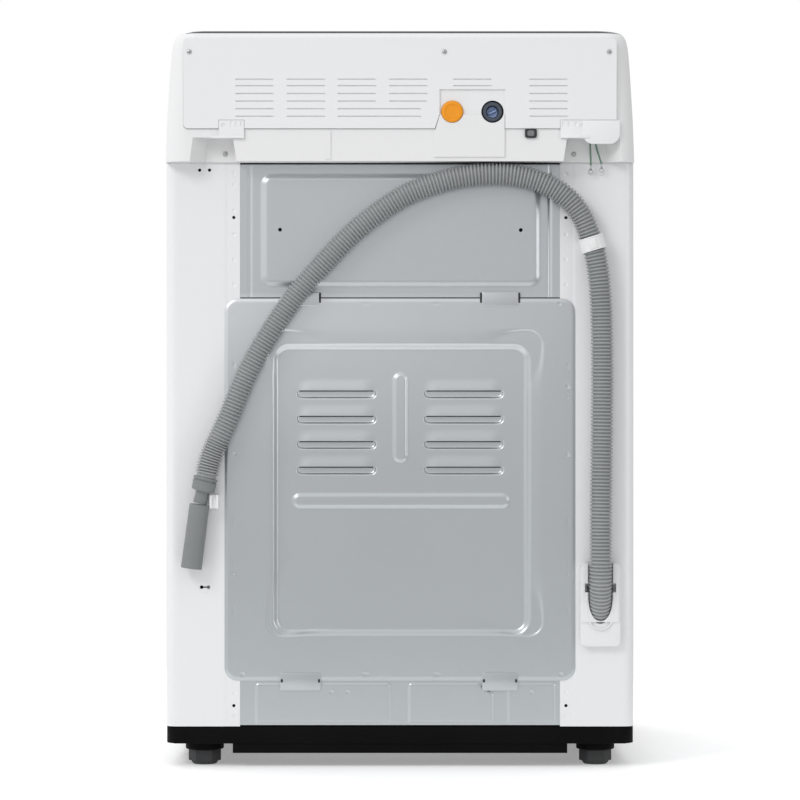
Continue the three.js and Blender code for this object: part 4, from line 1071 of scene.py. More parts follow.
outlet_paint = Paint("outlet moulding", (0.72, 0.725, 0.73), 0.45)
outlet_paint.grain(900, 0.00004, 0.05)
outlet_paint.patches((0.68, 0.68, 0.69), 60, 2, 0.4)
outlet = upright("drain_outlet_moulding", rounded(-297, -243, 163, 275, 8, 8), 299.3, 312, outlet_paint)
way = smoothly([(-270, 278.4, 174.7)] + [tuple(1000 * c for c in p) for p in HOSE_ROUTE[:6]], 6)
carve(outlet, tube("way", way, [16.6] * len(way), None, 40),
      block("slot_way", -291, -249, 294, 319, 236, 248),
      block("slot_way_upper", -287, -253, 294, 319, 240, 300))
carve(outlet, block("trim", -299, -241, 309.6, 320, 160, 196),
      block("trim_side", -299, -294.6, 309.6, 320, 160, 280))
lip_line = smoothly([(-288.5, 311, 236), (-288.5, 311, 214), (-286.4, 311, 200), (-280, 311, 189.5),
                     (-270, 311, 185.8), (-260, 311, 189.5), (-253.6, 311, 200), (-251.5, 311, 214),
                     (-251.5, 311, 236)], 6)
lip = tube("lip", lip_line, [1.4] * len(lip_line), outlet_paint, 14)
outlet = merge("drain_outlet_cover_moulding", soften(outlet, 0.8, 3, 40), lip, smooth=40)
belongs(outlet, "root", "strap_plastic", "drain_outlet_cover")

# ---------- base ----------
# A black polypropylene base: a channel frame with ribs between the feet and a boss over each foot.
# The feet are rubber pads with a hexagonal skirt, moulded on threaded stems.
base_paint = Paint("black polypropylene", srgb(9, 8, 9), 0.6)
base_paint.shader.inputs["Specular IOR Level"].default_value = 0.06
base_paint.grain(500, 0.0001, 0.06)
base_paint.patches(srgb(15, 15, 16), 8, 4, 0.5, 0.4, 0.75)
FEET = {"front_left": (-266, -290), "front_right": (266, -290), "rear_left": (-266, 256),
        "rear_right": (266, 256)}


def well(grow, z0, z1):
    return level("well", rounded(-225 - grow, 225 + grow, -232 - grow, 198 + grow, 60 + grow, 10), z0, z1)


base = level("base_frame", rounded(-316, 316, -333, 299, 22, 10), 31, 54, base_paint)
carve(base, level("inside", rounded(-312, 312, -329, 295, 18, 10), 0, 50))
carve(base, well(4, 31, 52), keep="UNION")
carve(base, well(0, 0, 100))
base_parts = [soften(base, 1.0, 2, 40)]
for y0, y1 in ((-331, -327), (293, 297)):
    base_parts.append(soften(block("rib", -226, 226, y0, y1, 18, 53, base_paint), 0.7))
for x0, x1 in ((-313, -309), (309, 313)):
    base_parts.append(soften(block("rib", x0, x1, -232, 173, 18, 53, base_paint), 0.7))
for fx, fy in FEET.values():
    boss = turned("boss", [(6, 20.5), (25, 20.5), (26, 21.5), (26, 52), (6, 52)], base_paint, 64,
                  (fx, fy, 0), whole=True)
    base_parts.append(boss)
    for k in range(8):
        web = block("web", 25, 44, -1.3, 1.3, 30, 51, base_paint)
        swing(web, (fx, fy, 0), math.radians(22.5 + 45 * k))
        base_parts.append(web)
base = merge("base_tray_moulding", *base_parts, smooth=40)
belongs(base, "root", "base_plastic", "base_tray")

foot_metal = Paint("threaded stem", (0.45, 0.45, 0.46), 0.35, 0.9)
foot_metal.grain(900, 0.00005, 0.08)
foot_metal.patches((0.35, 0.35, 0.36), 90, 2, 0.5)
for where, (fx, fy) in FEET.items():
    pad = turned("pad", [(0, 0), (15.2, 0), (15.8, 0.4), (17.6, 2.6), (18, 3.2), (18, 5), (0, 5)], rubber,
                 64, (fx, fy, 0))
    hexagon = []
    for grow, z in [(1.6, 4.2), (0.4, 4.6), (0, 5.4), (0, 18.6), (0.4, 19.5), (1.6, 20)]:
        corners = np.radians([60 * k for k in range(6)])
        hexagon.append([(fx + (22 - grow) * math.cos(a), fy + (22 - grow) * math.sin(a), z)
                        for a in corners])
    skirt = loft("skirt", hexagon, rubber, 25)
    thread = [(0, 19)]
    for k in range(20):
        thread += [(4.3, 20 + 1.5 * k), (5, 20.75 + 1.5 * k)]
    thread += [(4.3, 50.5), (3.6, 51.8), (0, 51.8)]
    stem = turned("stem", thread, foot_metal, 32, (fx, fy, 0), smooth=20)
    foot = merge(f"foot_{where}_moulding", pad, skirt, stem, smooth=30)
    belongs(foot, f"foot_{where}", "foot_rubber", f"foot_{where}")

# ---------- control panel ----------
# A glossy black panel covers the sloping console and wraps over its rear edge.
# It holds the knob, the keys and a display window, with raised tick marks round the knob.
gloss = Paint("black gloss panel", srgb(14, 14, 15), 0.12, 0.0, 0.6)
gloss.grain(1200, 0.00001, 0.03)
gloss.patches(srgb(22, 22, 23), 30, 3, 0.4, 0.5, 0.8)
print_paint = Paint("pale legend", srgb(196, 198, 200), 0.5)
print_paint.grain(1500, 0.00002)
print_paint.patches(srgb(176, 178, 180), 300, 2, 0.4)
panel = carve(cover_form(0), under_top(0, 0), keep="INTERSECT")
carve(panel, under_top(0, 3.7), block("front", -400, 400, -400, 137, 0, 1000))
KNOB_X, POWER_X, START_X = 70, -225, 225
OPTION_X = (130, 168)
DISPLAY_X = -115
key_holes = [turned("hole", [(0, -20), (r, -20), (r, 20), (0, 20)], None, 48) for r in (5, 13.6, 15.6)]
for hole, x in zip(key_holes, (KNOB_X, POWER_X, START_X)):
    on_console(hole, x)
option_holes = [on_console(level("hole", rounded(-13.6, 13.6, -6.6, 6.6, 2.5, 5), -20, 20), x)
                for x in OPTION_X]
display_hole = on_console(level("display", rounded(-58, 58, -16, 16, 3, 5), -0.8, 20), DISPLAY_X)
carve(panel, *key_holes, *option_holes, display_hole)
soften(panel, 0.6, 2, 40)
glass_paint = Paint("display window", srgb(9, 12, 14), 0.06, 0.0, 0.8)
glass_paint.grain(1500, 0.00001)
glass_paint.tint(glass_paint.ramp(glass_paint.axis("X"), -0.16, -0.08, 0, 0.6), srgb(16, 22, 26))
display = soften(level("display_window", rounded(-57.6, 57.6, -15.6, 15.6, 2.8, 5), -0.8, -0.2,
                       glass_paint), 0.2, 2)
on_console(display, DISPLAY_X)
console_marks = []
for k in range(11):
    a = math.radians(-150 + 30 * k)
    tick = block("tick", -0.5, 0.5, 30, 33.5 if k % 5 else 36, 0, 0.25, print_paint)
    tick.data.transform(Matrix.Rotation(a, 4, "Z"))
    console_marks.append(on_console(tick, KNOB_X))
for x in OPTION_X:
    console_marks.append(on_console(level("dash", rounded(-5, 5, 11, 12.2, 0.5, 3), 0, 0.25, print_paint),
                                    x))
for x, r in ((POWER_X, 18.5), (START_X, 20.5)):
    ring = turned("key_ring", [(r, 0), (r + 0.6, 0), (r + 0.6, 0.25), (r, 0.25)], print_paint, 64,
                  whole=True)
    console_marks.append(on_console(ring, x))
for x in (-50, -44, -38, -32):
    bar = level("bar", rounded(x, x + 4, -20.6, -19.4, 0.4, 3), 0, 0.25, print_paint)
    console_marks.append(on_console(bar, -80))
segments = []
for digit in range(2):
    for x0, x1, y0, y1 in [(-4, 4, 8, 9.3), (-4, 4, -0.6, 0.7), (-4, 4, -9.3, -8), (-5.2, -4, 0.9, 8),
                           (4, 5.2, 0.9, 8), (-5.2, -4, -8, -0.9), (4, 5.2, -8, -0.9)]:
        dx = -8 + 16 * digit
        segments.append(on_console(block("segment", x0 + dx, x1 + dx, y0, y1, -0.25, -0.1, grey_rubber),
                                   DISPLAY_X))
panel = merge("control_panel_moulding", panel, display, *console_marks, *segments, smooth=30)
belongs(panel, "root", "panel_gloss", "control_panel")

# ---------- knob and keys ----------
# The selector is a turned metal knob with a fluted skirt and a pointer line, and turns round without a stop.
# The keys are white ABS caps with dished tops that press in against rubber domes.
chrome = Paint("brushed knob metal", (0.62, 0.62, 0.63), 0.22, 1.0)
chrome.set("Roughness", chrome.ramp(chrome.noise(600, 2), 0.3, 0.7, 0.18, 0.3))
chrome.bump(chrome.noise(800, 2), 0.00001)
chrome.patches((0.5, 0.5, 0.51), 60, 2, 0.4)
KNOB_PROFILE = [(4.2, -9.6, 0), (4.2, 0.3, 0), (24.5, 0.6, 0), (25.8, 1.2, 0), (26, 2.4, 0), (25.6, 3.2, 1),
                (24.8, 17.4, 1), (24.4, 18.2, 0), (23.8, 19.2, 0), (22.6, 19.9, 0), (21.6, 20, 0),
                (20.8, 19.5, 0), (6, 18.9, 0), (0.4, 18.8, 0)]
FLUTE_DEPTH = 0.7
knob_rings = []
for r, z, fluted in KNOB_PROFILE:
    ring = []
    for k in range(240):
        a = 2 * math.pi * k / 240
        here = r - fluted * FLUTE_DEPTH * (k % 4 < 2)
        ring.append((here * math.cos(a), here * math.sin(a), z))
    knob_rings.append(ring)
knob_body = loft("knob_body", knob_rings, chrome, 30)
pointer = soften(level("pointer", rounded(-0.9, 0.9, 10, 21, 0.7, 4), 18.8, 20.05, base_paint), 0.2)
knob = on_console(merge("selector_knob_turned", knob_body, pointer, smooth=30), KNOB_X)
belongs(knob, "knob", "knob_chrome", "selector_knob")


def key(node, r, x, icon):
    profile = [(0, -7), (r - 0.2, -7), (r, -6.6), (r, 1.2), (r - 0.3, 1.8), (r - 1, 2), (r - 2.5, 1.7),
               (r * 0.5, 1.25), (0, 1.1)]
    cap_body = turned("key_cap", profile, shell_paint, 72, smooth=30)
    key_piece = on_console(merge(f"{node}_cap", cap_body, *icon, smooth=30), x)
    belongs(key_piece, node, "cover_plastic", node)


arc = [(3.6 * math.sin(a), 3.6 * math.cos(a), 1.35) for a in np.radians(np.linspace(35, 325, 30))]
power_icon = [tube("arc", np.array(arc), [0.35] * 30, rubber, 10, (0, 0, 1)),
              block("stroke", -0.35, 0.35, 1.4, 4.8, 1.0, 1.6, rubber)]
key("power_button", 13, POWER_X, power_icon)
start_icon = [level("play", [(-2.4, -3.4), (3.6, 0), (-2.4, 3.4)], 1.0, 1.6, rubber)]
key("start_button", 15, START_X, start_icon)
for number, x in enumerate(OPTION_X, 1):
    rings = []
    for g, z in [(0.2, -7), (0, -6.7), (0, 1.2), (0.3, 1.8), (0.9, 2), (2.4, 1.7), (4.5, 1.5)]:
        rings.append([(px, py, z) for px, py in rounded(-13 + g, 13 - g, -6 + g, 6 - g, 2.4, 6)])
    option = loft("option", rings, shell_paint, 30)
    dash = level("dash", rounded(-2.5, 2.5, -0.35, 0.35, 0.3, 3), 1.3, 1.7, rubber)
    option = on_console(merge(f"option_button_{number}_cap", option, dash, smooth=30), x)
    belongs(option, f"option_button_{number}", "cover_plastic", f"option_button_{number}")

# The main board is a green circuit board potted in a grey tray under the console.
board_paint = Paint("circuit board", srgb(28, 70, 46), 0.5)
board_paint.grain(700, 0.00004, 0.05)
board_paint.tint(board_paint.cells(160) * 0.35, srgb(60, 96, 66))
tray = on_console(block("tray", -245, 245, 53, 122, -26, -12, valve_paint), 0, 0)
board = on_console(block("board", -242, 242, 56, 119, -12, -10.4, board_paint), 0, 0)
chips = []
rng = np.random.default_rng(7)
for _ in range(14):
    x, y = rng.uniform(-225, 225), rng.uniform(62, 112)
    w, d = rng.uniform(4, 12), rng.uniform(3, 6)
    chips.append(on_console(block("chip", x - w, x + w, y - d, y + d, -10.6, -10.05, base_paint), 0, 0))
board = merge("main_board_assembly", soften(tray, 1.5), board, *chips)
belongs(board, "root", "valve_plastic", "main_board")

# ---------- lid ----------
# A black ABS frame carries a tinted tempered glass, bonded into a rebate. It turns on two steel pins.
# The latch hook of the lock works through a slot in front.
lid_paint = Paint("black ABS", srgb(20, 20, 21), 0.32, 0.0, 0.2)
lid_paint.grain(700, 0.00003, 0.05)
lid_paint.patches(srgb(29, 29, 30), 12, 3, 0.5, 0.4, 0.75)


def on_lid(obj):
    """From the lid's frame, whose origin is the hinge, to the row frame."""
    return swing(obj, LID_HINGE, LID_SLOPE, "X")


lid = level("lid_frame_moulding", rounded(-268, 268, -439, 5, 14, 10), -6, 8, lid_paint)
carve(lid, level("pane", rounded(-205, 205, -394, -45, 30, 12), -12, 14),
      level("rebate", rounded(-258, 258, -429, -11, 12, 8), 3.7, 14),
      *[turned("pin_way", [(0, 0), (3.8, 0), (3.8, 16), (0, 16)], None, 24, (x, 0, 0), "X")
        for x in (-274, 258)])
soften(lid, 1.4, 3, 40)
latch_hook = soften(block("hook", 143, 157, -423, -410, -9.5, -5.5, lid_paint), 0.8)
lid = on_lid(merge("lid_frame_black", lid, latch_hook, smooth=40))
belongs(lid, "lid", "lid_plastic", "lid_frame")

glass = Paint("tinted tempered glass", srgb(20, 23, 26), 0.04, 0.0, 0.5)
glass.shader.inputs["Transmission Weight"].default_value = 0.55
glass.bump(glass.noise(3, 2), 0.0002)
glass.patches(srgb(30, 34, 38), 5, 3, 0.4, 0.4, 0.75)
edge_print = Paint("printed glass border", srgb(10, 10, 11), 0.1, 0.0, 0.5)
edge_print.grain(1500, 0.00001)
edge_print.patches(srgb(16, 16, 17), 40, 2, 0.5)
pane = soften(level("pane", rounded(-206, 206, -395, -44, 30, 12), 4, 8, glass), 0.1, 1)
border = level("border", rounded(-257.6, 257.6, -428.6, -11.4, 11.6, 8), 4, 8, edge_print)
carve(border, level("inner", rounded(-206.2, 206.2, -395.2, -43.8, 30.2, 12), 0, 12))
border = soften(border, 0.7, 3, 40)
lid_glass = on_lid(merge("lid_glass_pane", pane, border, smooth=40))
belongs(lid_glass, "lid", "lid_glass", "lid_glass")

steel = Paint("spring steel", (0.42, 0.42, 0.43), 0.32, 1.0)
steel.grain(700, 0.00003, 0.08)
steel.patches((0.3, 0.3, 0.31), 60, 3, 0.5)
for side, x in (("left", -278), ("right", 260)):
    hinge_pin = turned("pin", [(0, 0), (3.1, 0), (3.5, 0.6), (3.5, 17.4), (3.1, 18), (0, 18)], steel, 40,
                       (x, 0, 0), "X")
    groove_at = x + (14 if side == "right" else 4)
    collar = turned("collar", [(2.6, -0.4), (3.52, -0.4), (3.52, 0.4), (2.6, 0.4)], tin_paint, 40,
                    (groove_at, 0, 0), "X", whole=True)
    hinge_pin = on_lid(merge(f"lid_hinge_pin_{side}_turned", hinge_pin, collar))
    belongs(hinge_pin, "lid", "spring_steel", f"lid_hinge_pin_{side}")

lock = block("lock", 120, 180, -314, -268.5, 848, 887, lid_paint)
carve(lock, block("latch_slot", 141, 159, -306, -276, 876, 900),
      block("label_dent", 119, 120.4, -308, -274, 853, 880))
lock = merge("lid_lock_case", soften(lock, 1.5, 3, 40))
belongs(lock, "root", "lid_plastic", "lid_lock")

# ---------- detergent drawer ----------
# A white polypropylene drawer with two wells slides forward out of its box into the loading mouth.
# The box is fixed under the console.
drawer = block("detergent_drawer_moulding", 60, 200, 100.5, 250, 868, 904, shell_paint)
carve(drawer, level("well_a", rounded(62.5, 145.55, 108.5, 247.5, 10, 8), 870.5, 910),
      level("well_b", rounded(148.05, 197.5, 108.5, 247.5, 10, 8), 870.5, 910),
      level("grip", rounded(105, 155, 90, 104.5, 4, 6), 860, 876))
front = carve(block("front", 58.6, 201.4, 40, 104.5, 864.6, 908.4), mouth(-0.4, 700, 1100))
carve(front, block("pull_way", 100, 150, 60, 102, 860, 872),
      block("behind", 62.5, 197.5, 104, 110, 870.5, 920))
carve(drawer, front, keep="UNION")
soften(drawer, 0.9, 3, 40)
marks = []
for k in range(3):
    marks.append(block("level_mark", 64, 74, 107.8, 108.9, 880 + 6 * k, 880.8 + 6 * k, valve_paint))
drawer = merge("detergent_drawer_body", drawer, *marks, smooth=40)
belongs(drawer, "drawer", "cover_plastic", "detergent_drawer")
box = block("dispenser_box_moulding", 56, 204, 105.5, 258, 864, 909, shell_paint)
carve(box, block("inside", 59, 201, 90, 254, 867, 906))
spray_holes = []
for x in range(72, 196, 14):
    for y in range(120, 211, 18):
        spray_holes.append(block("spray", x - 1, x + 1, y, y + 8, 905, 912))
carve(box, *spray_holes)
soften(box, 1, 2, 40)
belongs(box, "root", "cover_plastic", "dispenser_box")

# ---------- suspended tub ----------
# The outer tub is ribbed grey-white polypropylene with a cover ring clipped on its rim.
# It hangs on four steel rods with coil springs, whose heads rest in the cabinet's corner plates.
tub_paint = Paint("tub polypropylene", srgb(214, 216, 217), 0.5)
tub_paint.grain(500, 0.00006, 0.05)
tub_paint.patches(srgb(200, 202, 204), 7, 3, 0.6, 0.35, 0.7)
TUB_Y = -18
CORNERS = [("front_left", -1, -1), ("front_right", 1, -1), ("rear_left", -1, 1), ("rear_right", 1, 1)]
tub_profile = [(40, 236), (272, 236), (276, 237), (280, 241), (281, 246), (282.4, 480), (284.8, 482),
               (284.8, 488), (282.5, 490), (283.6, 690), (285, 692), (285, 786), (282, 786), (281, 700),
               (278, 252), (276, 244), (270, 240), (40, 240)]
tub = turned("tub_shell", tub_profile, tub_paint, 128, (0, TUB_Y, 0), whole=True, smooth=30)
tub_parts = [tub]
for _, sx, sy in CORNERS:
    a = math.atan2(sy, sx)
    arm = level("arm", [(277, -22), (398, -20), (402.7, -14), (402.7, 14), (398, 20), (277, 22)], 330, 346,
                tub_paint)
    web = along_x("web", [(-1.5, 300), (1.5, 300), (1.5, 331), (-1.5, 331)], 282, 340, tub_paint)
    for part in (arm, web):
        swing(part, (0, TUB_Y, 0), a)
    carve(arm, turned("eye", [(0, 300), (7, 300), (7, 400), (0, 400)], None, 32,
                      (sx * 272, TUB_Y + sy * 272, 0)))
    tub_parts += [soften(arm, 1), web]
for k in range(24):
    a = math.radians(7.5 + 15 * k)
    rib = along_x("floor_rib", [(-1.4, 229), (1.4, 229), (1.4, 237), (-1.4, 237)], 125, 268, tub_paint)
    swing(rib, (0, TUB_Y, 0), a)
    tub_parts.append(rib)
for r in (160, 215, 262):
    tub_parts.append(turned("hoop", [(r, 229.5), (r + 2.6, 229.5), (r + 2.6, 237), (r, 237)], tub_paint,
                            128, (0, TUB_Y, 0), whole=True))
tub = merge("outer_tub_moulding", *tub_parts, smooth=30)
belongs(tub, "tub", "tub_plastic", "outer_tub")
ring_profile = [(232, 790), (233, 787.5), (240, 786.3), (289, 786.3), (289, 796), (287.6, 798), (246, 798),
                (236, 796), (232, 792.6)]
cover_ring = turned("cover_ring", ring_profile, tub_paint, 128, (0, TUB_Y, 0), whole=True, smooth=30)
snaps = []
for k in range(12):
    a = math.radians(30 * k + 15)
    snap = soften(block("snap", 286, 290.5, -12, 12, 787, 797.5, tub_paint), 0.8)
    swing(snap, (0, TUB_Y, 0), a)
    snaps.append(snap)
cover_ring = merge("tub_cover_ring_moulding", cover_ring, *snaps, smooth=30)
belongs(cover_ring, "tub", "ring_plastic", "tub_cover_ring")
SPRING_TURNS = 5.0
SPRING_WIRE = 1.9
SPRING_R = 14.0
for where, sx, sy in CORNERS:
    at = (sx * 272, TUB_Y + sy * 272, 0)
    rod_profile = [(0, 236), (9, 236), (10, 236.6), (17.4, 242.4), (18, 243.2), (18, 246.6), (17.4, 247),
                   (6, 248.6), (4, 249.7), (4, 798.3), (11.4, 798.3), (12, 799), (11.2, 802), (8.4, 806.6),
                   (4, 808.8), (0, 809)]
    rod = turned(f"suspension_rod_{where}_turned", rod_profile, steel, 40, at, smooth=25)
    belongs(rod, "root", "spring_steel", f"suspension_rod_{where}")
    t = np.linspace(0, 1, 300)
    rise = 252 + (327.7 - 252) * np.clip((t - 0.06) / 0.88, 0, 1)  # the end turns are closed
    winding = 2 * np.pi * SPRING_TURNS * t
    helix = np.column_stack([at[0] + SPRING_R * np.cos(winding), at[1] + SPRING_R * np.sin(winding), rise])
    helix[:, 2] = np.clip(helix[:, 2], 252, 327.6)
    coil = tube(f"suspension_spring_{where}_coil", helix, [SPRING_WIRE] * 300, steel, 14, (0, 0, 1))
    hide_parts(f"suspension_spring_{where}")
    at[0] * MM
    at[1] * MM
    at[0] * MM
    at[1] * MM
    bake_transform(coil)

# ---------- drum ----------
# A perforated stainless drum with a liquid-filled plastic balance ring on its rim, riveted to a cast base.
# The pulsator turns over the base, and a lint filter clips to the wall.
stainless = Paint("stainless steel", (0.80, 0.80, 0.805), 0.3, 0.9)
stainless.set("Roughness", stainless.ramp(stainless.noise(60, 3, (1, 1, 8)), 0.3, 0.7, 0.26, 0.36))
stainless.bump(stainless.noise(400, 2, (1, 1, 6)), 0.000004)
stainless.patches((0.7, 0.7, 0.71), 20, 2, 0.4)
DRUM_COLS = 384
drum_rows = np.arange(275, 740.1, 4.3)
points, faces = [], []
for layer in (0, 1):
    for i, z in enumerate(drum_rows):
        for k in range(DRUM_COLS):
            a = 2 * math.pi * k / DRUM_COLS
            swell = 1.1 * math.exp(-(((k % 32) - 16) / 2.2) ** 2) * (300 < z < 715)
            r = 263.9 - 0.8 * layer - swell
            points.append((r * math.cos(a), TUB_Y + r * math.sin(a), z))
rows_n = len(drum_rows)


def drum_index(layer, i, k):
    return layer * rows_n * DRUM_COLS + i * DRUM_COLS + k % DRUM_COLS


def drum_open(i, k):
    """A hole takes one cell of the grid, in staggered rows, and leaves plain strips and the embossed ribs."""
    if not 4 < i < rows_n - 6 or i % 3 or abs((k % 32) - 15.5) < 5:
        return False
    return (k + 2 * (i // 3 % 2)) % 4 == 0


for i in range(rows_n - 1):
    for k in range(DRUM_COLS):
        corners = [(i, k), (i, k + 1), (i + 1, k + 1), (i + 1, k)]
        quads = [[drum_index(layer, *corner) for corner in corners] for layer in (0, 1)]
        if drum_open(i, k):
            for s in range(4):
                e = (s + 1) % 4
                faces.append([quads[0][s], quads[1][s], quads[1][e], quads[0][e]])
        else:
            faces += [quads[0], quads[1][::-1]]
for i, back in ((0, 0), (rows_n - 1, 1)):
    for k in range(DRUM_COLS):
        ends = [drum_index(0, i, k), drum_index(1, i, k), drum_index(1, i, k + 1), drum_index(0, i, k + 1)]
        faces.append(ends[::-1] if back else ends)
drum = outward(solid("drum_perforated", points, faces, stainless, 50), 50)
belongs(drum, "drum", "drum_steel", "drum")
ring_paint = Paint("balance ring plastic", srgb(196, 200, 203), 0.35, 0.0, 0.2)
ring_paint.grain(600, 0.00004, 0.05)
ring_paint.patches(srgb(182, 186, 190), 9, 3, 0.6, 0.35, 0.7)
balance_profile = [(228, 730), (230, 728), (262.4, 728), (262.4, 740.3), (267, 740.3), (267, 768),
                   (266, 771), (263, 774.2), (259, 775), (240, 775), (235, 774), (230.4, 770.6),
                   (228.4, 766), (228, 760), (229.4, 757), (229.4, 742), (228, 739)]
balance = turned("balance_ring_shell", balance_profile, ring_paint, 160, (0, TUB_Y, 0), whole=True,
                 smooth=35)
weld_ribs = []
for k in range(36):
    rib = soften(along_x("rib", [(-0.9, 774.4), (0.9, 774.4), (0.6, 775.4), (-0.6, 775.4)], 238, 258,
                         ring_paint), 0.2, 1)
    swing(rib, (0, TUB_Y, 0), math.radians(10 * k))
    weld_ribs.append(rib)
balance = merge("balance_ring_moulding", balance, *weld_ribs, smooth=35)
belongs(balance, "drum", "ring_plastic", "balance_ring")
base_profile = [(9, 166), (14.4, 166), (15, 166.6), (15, 252), (20, 256), (60, 256), (150, 261), (200, 262),
                (262, 262), (263, 263), (263, 273.4), (262.4, 274), (256, 274), (250, 271), (242, 268),
                (9, 268)]
drum_floor = turned("drum_floor", base_profile, stainless, 128, (0, TUB_Y, 0), whole=True, smooth=30)
spokes = []
for k in range(6):
    spoke = soften(along_x("spoke", [(-9, 250), (9, 250), (7, 262), (-7, 262)], 16, 235, stainless), 1)
    swing(spoke, (0, TUB_Y, 0), math.radians(60 * k))
    spokes.append(spoke)
drum_floor = merge("drum_base_casting", drum_floor, *spokes, smooth=30)
belongs(drum_floor, "drum", "drum_steel", "drum_base")

filter_paint = Paint("filter polypropylene", srgb(150, 156, 160), 0.45)
filter_paint.grain(700, 0.00004, 0.05)
filter_paint.patches(srgb(132, 138, 142), 40, 2, 0.5)
rings = []
for z in (430, 640):
    arc_points = []
    for r, a0, a1 in ((261.8, -9.6, 9.6), (250, 10.0, -10.0)):
        arc_points += [(r * math.cos(a), TUB_Y + r * math.sin(a), z)
                       for a in np.radians(np.linspace(a0, a1, 20))]
    rings.append(arc_points)
bow = loft("bow", rings, filter_paint, 30)
windows = []
for j in range(10):
    for y0, y1 in ((-36, -4), (4, 36)):
        windows.append(block("window", 244, 270, TUB_Y + y0, TUB_Y + y1, 446 + 18.4 * j, 459 + 18.4 * j))
carve(bow, *windows, smooth=30)
net = []
for y in np.arange(-34, 35, 2.2):
    line = np.array([(math.sqrt(257 ** 2 - y ** 2), TUB_Y + y, z) for z in (440, 500, 560, 636)])
    net.append(tube("strand", line, [0.3] * 4, valve_paint, 5))
lint = merge("lint_filter_frame", soften(bow, 0.8, 2, 40), *net, smooth=30)
belongs(lint, "filter", "valve_plastic", "lint_filter")

pulsator_paint = Paint("pulsator ABS", srgb(206, 209, 212), 0.32, 0.0, 0.2)
pulsator_paint.grain(600, 0.00004, 0.05)
pulsator_paint.patches(srgb(188, 192, 196), 12, 3, 0.5, 0.35, 0.7)
PULSE_COLS, PULSE_ROWS = 240, 60
pulse_r = np.linspace(0.5, 212, PULSE_ROWS)
pulse_a = np.linspace(0, 2 * np.pi, PULSE_COLS, endpoint=False)
rr, aa = np.meshgrid(pulse_r, pulse_a, indexing="ij")
dish = np.interp(rr, [0, 14, 24, 36, 60, 150, 196, 208, 212],
                 [325.6, 324.6, 321, 316, 295, 286, 290, 288, 284])
swirl = (aa * 4 / (2 * np.pi) + 0.0007 * rr) % 1.0
vane = np.exp(-(((swirl - 0.5) / 0.075) ** 2)) * np.clip((rr - 42) / 20, 0, 1) * np.clip((196 - rr) / 26, 0,
                                                                                         1)
low_wave = 0.5 + 0.5 * np.cos(2 * np.pi * (swirl * 2))
ripple = 0.8 * low_wave * np.clip((rr - 70) / 30, 0, 1) * np.clip((190 - rr) / 20, 0, 1)
dish = dish + vane * np.interp(rr, [40, 110, 196], [10, 23, 5]) + ripple
pulse_top = np.stack([rr * np.cos(aa), TUB_Y + rr * np.sin(aa), dish], -1)
rings = [[tuple(p) for p in ring] for ring in pulse_top]
for r, z in ((212, 280), (205, 276), (0.5, 276)):
    rings.append([(r * math.cos(a), TUB_Y + r * math.sin(a), z) for a in pulse_a])
pulse = loft("pulse", rings, pulsator_paint, 40)
drains = []
for k in range(12):
    for r in (88, 120, 152, 178):
        a = math.radians(30 * k + 22 + (r % 7))
        at = (r * math.cos(a), TUB_Y + r * math.sin(a), 0)
        drains.append(turned("drain", [(0, 260), (2.6, 260), (2.6, 340), (0, 340)], None, 12, at))
carve(pulse, merge("drains", *drains), smooth=40)
bolt_cap = turned("bolt_cap", [(0, 324), (13, 324), (13.4, 325), (12.6, 325.8), (0, 326)], filter_paint, 48,
                  (0, TUB_Y, 0))
pulse = merge("pulsator_moulding", pulse, bolt_cap, smooth=40)
belongs(pulse, "pulsator", "pulsator_plastic", "pulsator")

# ---------- drive and pump ----------
# A direct-drive motor hangs under the tub: a cast bearing housing, a wound stator, and a steel rotor cup.
# The drain pump sits beside it on the tub's floor, with a round filter cap and a finned motor.
cast = Paint("cast aluminium", (0.40, 0.41, 0.42), 0.5, 0.9)
cast.grain(350, 0.00012, 0.08)
cast.patches((0.32, 0.33, 0.34), 40, 3, 0.5)
housing = turned("housing", [(17, 178), (43, 178), (44, 179), (44, 220), (48, 222), (118, 226),
                             (120, 227.4), (120, 235.7), (17, 235.7)],
                 cast, 96, (0, TUB_Y, 0), whole=True, smooth=30)
housing_parts = [housing]
for k in range(9):
    a = math.radians(40 * k)
    bolt = turned("bolt", [(0, 0), (4.4, 0), (4.4, 3), (0, 3)], steel, 6,
                  (108 * math.cos(a), TUB_Y + 108 * math.sin(a), 222.6))
    housing_parts.append(bolt)
housing = merge("bearing_housing_casting", *housing_parts, smooth=30)
belongs(housing, "tub", "drive_aluminium", "bearing_housing")

copper = Paint("copper winding", srgb(172, 98, 48), 0.35, 0.8)
copper.grain(600, 0.0001, 0.08)
copper.patches(srgb(140, 76, 34), 100, 2, 0.5)
laminate = Paint("iron laminations", (0.16, 0.16, 0.17), 0.5, 0.8)
laminate.set("Roughness", laminate.ramp(laminate.noise(300, 2, (1, 1, 10)), 0.3, 0.7, 0.4, 0.6))
laminate.bump(laminate.noise(500, 2, (0.1, 0.1, 12)), 0.00008)
laminate.patches((0.11, 0.11, 0.12), 60, 2, 0.5)
stator_parts = [turned("yoke", [(44.6, 190), (66, 190), (66, 206), (44.6, 206)], laminate, 96,
                       (0, TUB_Y, 0), whole=True)]
for k in range(36):
    turn = Matrix.Translation(Vector((0, TUB_Y, 0)) * MM) @ Matrix.Rotation(math.radians(10 * k), 4, "Z")
    tooth = along_x("tooth", [(-2, 191), (2, 191), (2, 205), (-2, 205)], 65, 106, laminate)
    shoe = along_x("shoe", [(-8, 190.5), (8, 190.5), (8, 205.5), (-8, 205.5)], 106, 112, laminate)
    coil = soften(along_x("coil", [(-4.6, 188), (4.6, 188), (4.6, 208), (-4.6, 208)], 70, 103, copper), 1.6,
                  3)
    for part in (tooth, shoe, coil):
        part.data.transform(turn)
    stator_parts += [tooth, shoe, coil]
